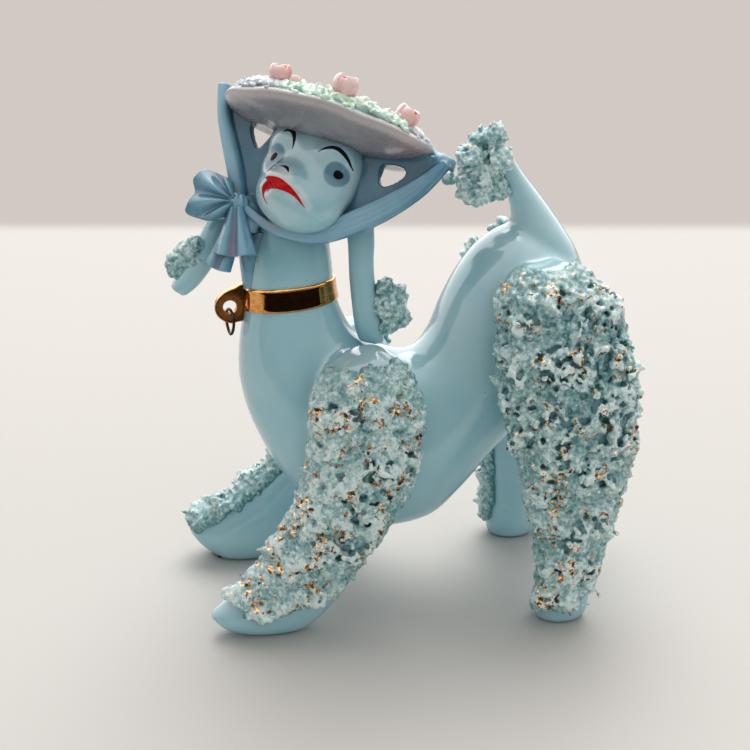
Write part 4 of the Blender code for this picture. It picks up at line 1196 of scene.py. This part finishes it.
def build_roses():
    """Roses of cupped petals pressed onto the hat."""
    for number, (name, (side, forward, height, radius, petals)) in enumerate(ROSES.items()):
        rng = np.random.default_rng(61 + number)
        centre = from_hat(side, forward, height)
        up = unit(from_hat(side * 1.02, forward * 1.02, height + 1.0) - centre)
        flat = unit(np.cross(up, HEAD_AXES[1]))
        other = np.cross(up, flat)
        shapes = []
        points, faces = ball(3)
        bud = points * np.array((0.5, 0.5, 0.66)) * radius
        shapes.append((centre + bud @ np.stack([flat, other, up]), faces))
        for k in range(petals):
            turn = 2.4 * k + rng.uniform(-0.2, 0.2)
            size = radius * (0.62 + 0.36 * (k + 1) / petals)
            grid_in = []
            grid_out = []
            for polar in np.radians(np.linspace(150.0, 34.0 + 8.0 * rng.uniform(), 12)):
                spread = np.linspace(-0.95, 0.95, 13) * (0.55 + 0.45 * math.sin(polar))
                flare = 1.0 + 0.22 * max(math.cos(polar), 0.0)
                around = turn + spread
                for grid, shell in ((grid_in, 0.84), (grid_out, 1.04)):
                    r = size * shell * flare
                    local = np.stack([r * math.sin(polar) * np.cos(around),
                                      r * math.sin(polar) * np.sin(around),
                                      np.full(13, r * math.cos(polar))], -1)
                    grid.append(centre + local @ np.stack([flat, other, up]))
            shapes.append(slab(grid_in, grid_out))
        rose = as_object(name + "_petals", join(shapes))
        fuse(rose, 0.13, 3)
        drop_fragments(rose)
        out = np.linalg.norm(coordinates(rose) - centre, axis=1)
        vertex_values(rose, "height", out / radius - 0.25)
        finish_piece(rose, PAINTS["rose"], (name,))


def build_clumps():
    """Crumbs of clay that stand for leaves and small blossoms."""
    for number, (name, (start, stop, tall, count)) in enumerate(CLUMPS.items()):
        rng = np.random.default_rng(81 + number)
        arc = np.radians(rng.uniform(start, stop, count))
        spread = rng.normal(0.0, 0.055, count)
        share = np.clip(0.87 + spread, 0.70, 0.975)
        middle = 0.5 * (start + stop)
        taper = 1.0 - 0.55 * (np.abs(np.degrees(arc) - middle) / (0.5 * (stop - start))) ** 2
        level = hat_top(share)
        rise = tall * taper * np.exp(-(spread / 0.085) ** 2) * rng.uniform(0.1, 1.0, count)
        spots = from_hat(share * HAT_RADIUS * np.cos(arc), share * HAT_RADIUS * np.sin(arc),
                         level + rise)
        grains = crumbs(spots, rng.uniform(0.35, 0.85, count), rng, 0.5)
        bed_arc = np.radians(np.linspace(start + 1.0, stop - 1.0, max(8, count // 9)))
        bed = crumbs(from_hat(0.87 * HAT_RADIUS * np.cos(bed_arc), 0.87 * HAT_RADIUS * np.sin(bed_arc),
                              hat_top(0.87) + 0.1 * np.ones(len(bed_arc))),
                     np.full(len(bed_arc), 1.5), rng, 0.2)
        way = unit(rng.normal(size=(count // 4, 3)) + HEAD_AXES[2])
        pick = rng.integers(0, count, len(way))
        centres, sizes = worms(spots[pick], way, rng.uniform(0.8, 2.0, len(way)),
                               rng.uniform(0.3, 0.45, len(way)), rng)
        obj = as_object(name + "_crumbs", join([bed, grains, crumbs(centres, sizes, rng)]))
        fuse(obj, 0.22, 1, 0.4)
        drop_fragments(obj)
        local = to_hat(coordinates(obj))
        over = local[:, 2] - hat_top(np.hypot(local[:, 0], local[:, 1]) / HAT_RADIUS)
        vertex_values(obj, "height", np.clip(over / (tall + 0.6), 0.0, 1.2))
        is_leaf = name == "hat_leaves"
        finish_piece(obj, PAINTS["leaf" if is_leaf else "blossom"],
                     (name,))


def strap(path, half_widths, forward, depth, shift=0.0, count=70, around=20):
    """Rounded strap along a path in the head's side-up plane."""
    line = evenly([p + (w, f) for p, w, f in zip(path, half_widths, forward)], count)
    along = np.gradient(line[:, :2], axis=0)
    normal = unit(np.stack([-along[:, 1], along[:, 0]], -1))
    rings = []
    for (side, up, half, ahead), (nx, ny) in zip(line, normal):
        turn = np.linspace(0.0, 2 * math.pi, around, endpoint=False)
        offset = half * (shift + np.cos(turn) * (1.0 - min(abs(shift), 1.0) * 0.4))
        rings.append(from_head(side + nx * offset, ahead + depth * np.sin(turn), up + ny * offset))
    return loft(rings)


def build_scarf():
    """Bonnet scarf: straps, webs with their openings, and the ribbon on the hat."""
    def in_head(side, up, forward):
        return from_head(side, forward, up)

    shapes = []
    count = len(RIGHT_STRAP)
    shapes.append(strap(RIGHT_STRAP, [1.3, 1.3, 1.5, 1.6, 1.6], [0.8] * count, 2.0))
    shapes.append(strap(RIGHT_STRAP, [1.0, 1.2, 1.5, 1.6, 1.5], [2.1] * count, 1.0, -0.5))
    widths = [0.9, 2.0, 2.6, 2.6, 2.1, 1.6, 1.3, 1.1, 1.1]
    ahead = [0.4, 0.8, 1.2, 1.8, 2.6, 3.2, 3.4, 3.6, 4.2]
    shapes.append(strap(LEFT_STRAP, widths, [a - 1.0 for a in ahead], 1.7))
    for shift in (-1.35, -0.45, 0.45, 1.35):
        shapes.append(strap(LEFT_STRAP, [0.5 * w for w in widths], [a + 0.4 for a in ahead],
                            1.2, shift))
    shapes.append(strap([(-12.4, -11.0), (-9.4, -13.6), (-7.6, -17.0)], [2.4, 3.2, 1.6],
                        [2.6, 2.8, 2.6], 1.8))
    shapes.append(strap([(-12.0, -10.6), (-8.0, -11.4), (-3.5, -12.2)], [2.2, 2.6, 1.4],
                        [1.2, 1.2, 1.2], 1.6))
    for outline, hole in ((RIGHT_WEB, RIGHT_HOLE), (LEFT_WEB, LEFT_HOLE)):
        shapes.append(plate([outline, rounded(hole, 40)], in_head, -2.2, 0.4))
    for path in ([(12.8, 11.0), (13.4, 4.0), (12.8, -3.6)], [(14.8, 10.5), (15.0, 5.0), (14.2, -2.0)]):
        shapes.append(strap(path, [0.8, 0.9, 0.7], [-0.9, -0.8, -0.6], 0.8))
    grid_low = []
    grid_high = []
    for side in np.linspace(*RIBBON_ENDS, 90):
        share = min(abs(side) / HAT_RADIUS, 1.0)
        beyond = max(abs(side) - 0.95 * HAT_RADIUS, 0.0)
        half = 0.5 * RIBBON_WIDTH * (1.0 - 0.62 * (abs(side) / RIBBON_ENDS[1]) ** 4)
        forward = np.linspace(-half, half, 15) - RIBBON_SET_BACK
        crease = 0.25 * np.cos(np.linspace(-3.0, 3.0, 15) * math.pi)
        level = hat_top(share) + 0.7 + crease - 0.12 * beyond
        thick = 0.9 + 0.25 * beyond
        grid_low.append(from_hat(np.full(15, side), forward, level - thick))
        grid_high.append(from_hat(np.full(15, side), forward, level + 0.2))
    shapes.append(slab(grid_low, grid_high))
    for end in RIBBON_ENDS:
        corner = [from_hat(0.92 * end, -RIBBON_SET_BACK + 0.5, 1.5),
                  from_head(0.93 * end, 0.6, 11.0)]
        middle = 0.5 * (corner[0] + corner[1])
        points, faces = ball(3)
        local = points * np.array((1.9, 2.2, 2.2))
        shapes.append((middle + local @ HEAD_AXES, faces))
    scarf = as_object("scarf", join(shapes))
    fuse(scarf, 0.28, 2)
    drop_fragments(scarf)
    local = to_head(coordinates(scarf))
    # Painted shade deepens the inner webs, more so towards the hat; painted highlights lighten the fronts,
    # the top and the outer ridge of the right strap; the chin strap's lilac is the glaze's own colour.
    shade = 0.35 + 0.65 * smoothstep(-2.0, 9.0, local[:, 2])
    web = smoothstep(1.4, 0.1, local[:, 1]) * smoothstep(13.5, 11.0, local[:, 2]) * shade
    high = 0.6 * smoothstep(1.8, 3.2, local[:, 1]) + 0.6 * smoothstep(12.5, 15.0, local[:, 2])
    outer = smoothstep(-14.0, -18.0, local[:, 0]) * smoothstep(0.8, 2.2, local[:, 1])
    chin = smoothstep(6.0, 2.0, np.abs(local[:, 0] + 3.0)) * smoothstep(-15.2, -14.0, local[:, 2])
    vertex_values(scarf, "deep", 0.85 * web)
    vertex_values(scarf, "pale", np.clip(high + 0.5 * outer, 0.0, 1.0))
    vertex_values(scarf, "lilac", 0.35 * chin)
    finish_piece(scarf, PAINTS["scarf"], ("scarf_right", "scarf_left", "hat_ribbon"))


def in_bow(side, forward, up):
    """World points given from the bow's knot in the head's axes."""
    return from_head(BOW_CENTRE[0] + side, BOW_CENTRE[1] + forward, BOW_CENTRE[2] + up)


def cloth_piece(name, grid, thick, lilac, replaces, voxel=0.22):
    """Soft sheet of modelled ribbon with its creases tinted lilac and darkened as painted shade, and its
    foremost folds lightened as a painted highlight.
    """
    grid = np.asarray(grid, float)
    rows, cols = grid.shape[:2]
    push = HEAD_AXES[1] * thick / 2
    obj = as_object(name, slab(grid - push, grid + push))
    fuse(obj, voxel, 3)
    drop_fragments(obj)
    places = grid.reshape(-1, 3)
    values = np.asarray(lilac, float).ravel()
    points = coordinates(obj)
    tree = BVHTree.FromPolygons(
        [Vector(p) for p in places],
        [(i * cols + j, i * cols + j + 1, (i + 1) * cols + j + 1, (i + 1) * cols + j)
         for i in range(rows - 1) for j in range(cols - 1)])
    tint = []
    for point in points:
        spot, _, face, _ = tree.find_nearest(Vector(point))
        i, j = divmod(face, cols - 1)
        tint.append(values[i * cols + j])
    tint = np.array(tint)
    depth = to_head(points)[:, 1]
    vertex_values(obj, "lilac", tint)
    # Painted shade in the lilac creases and a painted highlight on the foremost folds.
    vertex_values(obj, "deep", 0.5 * smoothstep(0.3, 1.0, tint))
    vertex_values(obj, "pale", 0.6 * smoothstep(np.median(depth) + 0.5, depth.max(), depth))
    finish_piece(obj, PAINTS["scarf"], replaces)


def build_bow():
    """Knot, pleated loops and hanging ends."""
    angles = np.array([a for a, _ in BOW_EDGE])
    reaches = np.array([r for _, r in BOW_EDGE])
    grid = []
    tint = []
    spread = np.linspace(0.0, 1.0, 81)
    turn = angles[0] + (angles[-1] - angles[0]) * spread
    edge = np.interp(turn, angles, reaches)
    edge = np.convolve(np.pad(edge, 2, mode="edge"), np.ones(5) / 5.0, mode="valid")
    fold = np.cos(2.0 * math.pi * (turn - BOW_FIRST_FOLD) / BOW_FOLD_STEP)
    for share in np.linspace(0.08, 1.0, 34):
        puff = 1.5 * math.sin(math.pi * min(share, 0.98) ** 0.8)
        forward = puff + 1.7 * fold * share ** 0.7 * (1.35 - share)
        reach = edge * share
        grid.append(in_bow(reach * np.cos(np.radians(turn)), forward,
                           reach * np.sin(np.radians(turn))))
        top = smoothstep(185.0, 160.0, turn)
        tint.append(smoothstep(0.1, 1.0, -fold) * (0.25 + 0.75 * top) * (1.0 - 0.5 * share))
    cloth_piece("bow_loops", grid, 2.0, tint, ("bow_loop",))

    def hanging(name, start, end, narrow, wide, depth, fold_size, replaced):
        """Hanging ribbon end that flares away from the knot."""
        start = np.array(start)
        along = np.array(end) - start
        across = unit(np.array((-along[1], along[0])))
        rows = []
        tints = []
        s = np.linspace(-0.5, 0.5, 25)
        for t in np.linspace(0.0, 1.0, 30):
            width = narrow + (wide - narrow) * t ** 1.2
            spots = start + along * t + across * (s * width)[:, None]
            wave = np.cos(4.0 * math.pi * np.abs(s))
            sag = 0.7 * t * (s * 2.0) ** 2
            rows.append(in_bow(spots[:, 0], depth + fold_size * wave * (0.35 + 0.65 * t),
                               spots[:, 1] + sag))
            tints.append(smoothstep(0.19, 0.07, np.abs(s + 0.03)) * (1.0 - 0.3 * t))
        cloth_piece(name, rows, 1.7, tints, (replaced,))

    hanging("bow_front_end", (0.3, -1.0), (3.7, -11.9), 3.4, 10.6, 0.8, -0.9, "bow_tail")
    hanging("bow_rear_end", (0.2, -8.0), (-0.2, -16.0), 4.6, 6.4, -2.0, -0.5, "bow_tail_rear")

    points, faces = ball(4)
    ridges = 1.0 + 0.07 * np.cos(9.0 * np.arctan2(points[:, 0], points[:, 1]) + 2.0 * points[:, 2])
    knot_points = points * np.array((2.5, 2.1, 2.2)) * ridges[:, None]
    knot = as_object("bow_knot_wrap", (in_bow(*knot_points.T), faces))
    fuse(knot, 0.2, 2)
    values = smoothstep(0.0, 1.0, noise_at(coordinates(knot), 1.6))
    vertex_values(knot, "lilac", 0.7 * values)
    vertex_values(knot, "deep", np.zeros(len(values)))
    vertex_values(knot, "pale", np.full(len(values), 0.45))
    finish_piece(knot, PAINTS["scarf"], ("bow_knot",))


def build_throat_ribbon():
    """Ribbon end that lies on the throat down to the collar."""
    inner = []
    outer = []
    tint = []
    for down in np.linspace(0.0, 1.0, 30):
        level = spline(TORSO_ROWS, 0.4 + 1.9 * down)
        angles = 174.0 + 74.0 * (1.0 - 0.5 * down) * np.linspace(-0.5, 0.5, 21)
        rows = np.repeat(level[None], 21, 0)
        relief = (2.5 - 1.9 * down) * np.sin(np.linspace(0.12, math.pi - 0.12, 21)) ** 0.8 - 0.1
        outer.append(np.stack([section(level, 1.0, g, a) for g, a in zip(relief, angles)]))
        inner.append(section(rows, 1.0, -0.6, angles))
    ribbon = as_object("throat_ribbon", slab(inner, outer))
    fuse(ribbon, 0.25, 4)
    count = len(ribbon.data.vertices)
    heights = coordinates(ribbon)[:, 2]
    # Darker at the top as painted shade under the chin; paler towards the bottom.
    vertex_values(ribbon, "deep", 0.25 * smoothstep(84.0, 90.0, heights))
    vertex_values(ribbon, "pale", 0.45 * smoothstep(86.0, 78.0, heights))
    vertex_values(ribbon, "lilac", 0.25 * smoothstep(86.0, 92.0, heights))
    finish_piece(ribbon, PAINTS["scarf"], ("ribbon_end",))


def scarf_paint():
    """Darker airbrushed glaze of the scarf, lilac in the folds of the bow, lightened by painted highlights
    and darkened by painted shade in its webs, creases and hollows.
    """
    paint = Paint("scarf_glaze")
    cloud = paint.remap(paint.noise(5.0, 3.0), 0.35, 0.65)
    colour = paint.mix(cloud, (0.092, 0.262, 0.385, 1), (0.138, 0.338, 0.460, 1))
    # 'pale' paints highlights on lit ridges and fronts; 'deep' paints shade in the webs, creases and under
    # the chin.
    colour = paint.mix(paint.value_of("pale"), colour, (0.320, 0.575, 0.720, 1))
    colour = paint.mix(paint.value_of("deep"), colour, (0.022, 0.080, 0.130, 1))
    colour = paint.mix(paint.value_of("lilac"), colour, (0.350, 0.240, 0.350, 1))
    # Painted shade in hollows, from the occlusion node.
    pooled_and_shaded = paint.remap(paint.hollow(4.0), 0.2, 0.95, 0.65, 0.0)
    colour = paint.mix(pooled_and_shaded, colour, (0.020, 0.065, 0.100, 1))
    paint.bump(paint.noise(1.6, 3.0, stretch=(1, 1, 0.5)), 0.05, 0.6)
    paint.shader.inputs["Specular IOR Level"].default_value = 0.35
    return paint.finish(colour, paint.remap(paint.noise(2.0), 0.3, 0.7, 0.10, 0.22), 0.0, 0.15)


def build_collar():
    """Gilt collar band with softened edges."""
    near = spline(TORSO_ROWS, [COLLAR_ROW - 0.1, COLLAR_ROW + 0.1])
    per_row = np.linalg.norm((near[0] - near[1])[[0, 1]]) / 0.2
    reach = COLLAR_HALF_HEIGHT / per_row
    profile = [(-0.96, -0.5), (-1.0, 0.1), (-1.0, 0.55), (-0.93, 0.85)]
    profile += [(s, 1.0) for s in np.linspace(-0.82, 0.82, 9)]
    profile += [(-s, g) for s, g in profile[3::-1]]
    around = 180
    turns = np.arange(around) * 360.0 / around
    rings = []
    climb = COLLAR_LEFT_RISE * np.sin(np.radians(turns)) + COLLAR_BACK_RISE * np.cos(np.radians(turns))
    for share, grow in profile:
        rows = spline(TORSO_ROWS, COLLAR_ROW - climb + share * reach)
        rings.append(section(rows, 1.0, 0.12 + grow * COLLAR_THICK, turns))
    points = np.vstack(rings)
    faces = []
    for i in range(len(rings)):
        for j in range(around):
            low = i * around
            high = (i + 1) % len(rings) * around
            k = (j + 1) % around
            faces.append((low + j, low + k, high + k, high + j))
    band = as_object("collar_band", (points, faces))
    vertex_values(band, "dull", np.zeros(len(points)))
    finish_piece(band, PAINTS["gold"], ("collar",))


def build_lug():
    """Gilt loop that the link hangs in."""
    def in_midplane(x, z, depth):
        return np.array((x, depth, z))

    turns = np.linspace(0.0, 2 * math.pi, 40, endpoint=False)
    hole = [(LUG_HOLE[0] + LUG_HOLE_RADIUS * math.cos(t), LUG_HOLE[1] + LUG_HOLE_RADIUS * math.sin(t))
            for t in turns]
    half = 0.5 * LUG_THICK
    lug = as_object("leash_loop", plate([rounded(LUG_OUTLINE, 60), hole], in_midplane, -half, half))
    fuse(lug, 0.14, 9)
    rim = np.hypot(*(coordinates(lug)[:, [0, 2]] - np.array(LUG_HOLE)).T)
    vertex_values(lug, "dull", 0.35 + 0.55 * smoothstep(3.9, 2.2, rim))
    finish_piece(lug, PAINTS["gold"], ("leash_lug",))


def build_link():
    """Open wire link hanging in the lug."""
    opening = math.radians(RING_OPENING)
    bottom = -0.5 * math.pi - 0.35
    around = np.linspace(0.0, 2 * math.pi, 14, endpoint=False)
    rings = []
    for turn in np.linspace(bottom + 0.5 * opening, bottom + 2 * math.pi - 0.5 * opening, 110):
        y = RING_HALF_WIDTH * math.cos(turn)
        z = RING_HALF_HEIGHT * math.sin(turn) - RING_HALF_HEIGHT
        out = unit(np.array((math.cos(turn) / RING_HALF_WIDTH, math.sin(turn) / RING_HALF_HEIGHT)))
        bend = 0.22 * max(-math.sin(turn), 0.0) * math.cos(turn)
        rings.append(np.array((bend, y, z)) + RING_WIRE * np.stack([
            np.sin(around), out[0] * np.cos(around), out[1] * np.cos(around)], -1))
    points, faces = loft(rings)
    twist = math.radians(RING_TWIST)
    x, y, z = points.T
    points = np.stack([x * math.cos(twist) - y * math.sin(twist),
                       x * math.sin(twist) + y * math.cos(twist), z], -1)
    points += np.array((LUG_HOLE[0], 0.0, LUG_HOLE[1] - RING_DROP))
    link = as_object("wire_link", (points, faces))
    finish_piece(link, PAINTS["wire"], ("chain_ring",), LINK)


# ----------------------------------------------------------------------- stage
def build_stage():
    """Pale table that runs back into the backdrop."""
    work = bmesh.new()
    bmesh.ops.create_grid(work, x_segments=8, y_segments=8, size=3.0)
    mesh = bpy.data.meshes.new("floor")
    work.to_mesh(mesh)
    work.free()
    floor = bpy.data.objects.new("floor", mesh)
    floor.location.z = -0.0002
    bpy.context.scene.collection.objects.link(floor)
    mesh.materials.append(floor_paint())


def area_light(name, place, aim, width, height, power, colour=(1.0, 0.98, 0.95)):
    """Soft rectangular light that looks at a point; lengths in millimetres."""
    light = bpy.data.lights.new(name, "AREA")
    light.shape = "RECTANGLE"
    light.size = width * MM
    light.size_y = height * MM
    light.energy = power
    light.color = colour
    obj = bpy.data.objects.new(name, light)
    obj.location = Vector(place) * MM
    obj.rotation_euler = (Vector(aim) - Vector(place)).to_track_quat("-Z", "Y").to_euler()
    bpy.context.scene.collection.objects.link(obj)


def build_lights():
    """Soft light from above and behind, with a dim room on the camera's side."""
    middle = (0.0, 0.0, 60.0)
    sun = bpy.data.lights.new("ceiling", "SUN")
    sun.energy = 1.45
    sun.angle = 0.9
    sun.color = (1.0, 0.985, 0.965)
    ceiling = bpy.data.objects.new("ceiling", sun)
    ceiling.rotation_euler = Vector((0.10, 0.42, 0.90)).to_track_quat("Z", "Y").to_euler()
    bpy.context.scene.collection.objects.link(ceiling)
    area_light("window", (110.0, 400.0, 860.0), middle, 420.0, 620.0, 1.5)
    area_light("left_lamp", (-420.0, -60.0, 420.0), middle, 260.0, 260.0, 0.06)
    world = bpy.data.worlds.new("room")
    world.use_nodes = True
    bpy.context.scene.world = world
    tree = world.node_tree
    direction = tree.nodes.new("ShaderNodeTexCoord").outputs["Generated"]
    facing = tree.nodes.new("ShaderNodeVectorMath")
    facing.operation = "DOT_PRODUCT"
    facing.inputs[1].default_value = (0.0, 0.55, 0.83)
    tree.links.new(direction, facing.inputs[0])
    mirrored = tree.nodes.new("ShaderNodeMapRange")
    mirrored.interpolation_type = "SMOOTHSTEP"
    tree.links.new(facing.outputs["Value"], mirrored.inputs["Value"])
    mirrored.inputs["From Min"].default_value = -0.62
    mirrored.inputs["From Max"].default_value = 1.05
    mirrored.inputs["To Min"].default_value = 0.12
    mirrored.inputs["To Max"].default_value = 3.00
    split = tree.nodes.new("ShaderNodeSeparateXYZ")
    tree.links.new(direction, split.inputs[0])
    towards_camera = tree.nodes.new("ShaderNodeMath")
    towards_camera.operation = "ABSOLUTE"
    tree.links.new(split.outputs["Y"], towards_camera.inputs[0])
    spread = 0.06
    for source, share in ((towards_camera.outputs[0], 0.40), (split.outputs["Z"], 0.34),
                          (split.outputs["Y"], -0.16), (split.outputs["X"], 0.12)):
        term = tree.nodes.new("ShaderNodeMath")
        term.operation = "MULTIPLY_ADD"
        tree.links.new(source, term.inputs[0])
        term.inputs[1].default_value = share
        if isinstance(spread, float):
            term.inputs[2].default_value = spread
        else:
            tree.links.new(spread, term.inputs[2])
        spread = term.outputs[0]
    choose = tree.nodes.new("ShaderNodeMix")
    tree.links.new(tree.nodes.new("ShaderNodeLightPath").outputs["Is Glossy Ray"],
                   choose.inputs["Factor"])
    tree.links.new(spread, choose.inputs[2])
    tree.links.new(mirrored.outputs["Result"], choose.inputs[3])
    backdrop = tree.nodes.new("ShaderNodeMix")
    tree.links.new(tree.nodes.new("ShaderNodeLightPath").outputs["Is Camera Ray"],
                   backdrop.inputs["Factor"])
    tree.links.new(choose.outputs[0], backdrop.inputs[2])
    backdrop.inputs[3].default_value = 0.62
    background = tree.nodes["Background"]
    background.inputs["Color"].default_value = (1.0, 0.98, 0.965, 1.0)
    tree.links.new(backdrop.outputs[0], background.inputs["Strength"])


def build_camera():
    """Camera that looks slightly down on the figurine from its left."""
    azimuth = math.radians(CAMERA_AZIMUTH)
    elevation = math.radians(CAMERA_ELEVATION)
    back = Vector((math.sin(azimuth) * math.cos(elevation),
                   -math.cos(azimuth) * math.cos(elevation), math.sin(elevation)))
    camera = bpy.data.cameras.new("camera")
    camera.lens = CAMERA_LENS
    camera.clip_start = 0.01
    obj = bpy.data.objects.new("camera", camera)
    obj.location = (Vector(CAMERA_AIM) + back * CAMERA_DISTANCE) * MM
    obj.rotation_euler = (-back).to_track_quat("-Z", "Y").to_euler()
    bpy.context.scene.collection.objects.link(obj)
    bpy.context.scene.camera = obj
    bpy.context.scene.view_settings.view_transform = "Standard"


def mix_paints():
    """Make every material once."""
    PAINTS["glaze"] = glaze_paint("body_glaze", AQUA, AQUA_DEEP, AQUA_PALE, pooling_and_shade=0.25)
    # The face's deep colour serves both the blue eye patches and the painted shade under the hat.
    PAINTS["face"] = glaze_paint("face_glaze", (0.350, 0.620, 0.690, 1), (0.055, 0.185, 0.280, 1),
                                 (0.720, 0.800, 0.820, 1), pooling_and_shade=0.22, coat=0.3)
    PAINTS["scarf"] = scarf_paint()
    PAINTS["hat"] = hat_paint()
    PAINTS["rose"] = rose_paint()
    PAINTS["leaf"] = crumb_paint("leaf_clay", (0.540, 0.780, 0.630, 1), (0.740, 0.920, 0.800, 1),
                                 (0.900, 0.970, 0.910, 1), (0.520, 0.820, 0.620, 1))
    PAINTS["blossom"] = crumb_paint("blossom_clay", (0.400, 0.490, 0.540, 1),
                                    (0.640, 0.740, 0.780, 1), (0.890, 0.930, 0.940, 1),
                                    (0.640, 0.560, 0.640, 1))
    PAINTS["fur"] = fur_paint()
    PAINTS["gold"] = gold_paint()
    PAINTS["wire"] = wire_paint()
    PAINTS["black_enamel"] = enamel_paint("black_enamel", (0.012, 0.013, 0.018, 1),
                                          (0.004, 0.004, 0.006, 1))
    PAINTS["red_enamel"] = enamel_paint("red_enamel", (0.680, 0.012, 0.013, 1),
                                        (0.500, 0.006, 0.008, 1))


def main():
    """Build the whole figurine and its setting."""
    mix_paints()
    build_body()
    build_ears()
    build_leg_fur()
    build_tufts()
    build_face(build_head())
    build_hat()
    build_roses()
    build_clumps()
    build_scarf()
    build_bow()
    build_throat_ribbon()
    build_collar()
    build_lug()
    build_link()
    build_stage()
    build_lights()
    build_camera()


main()
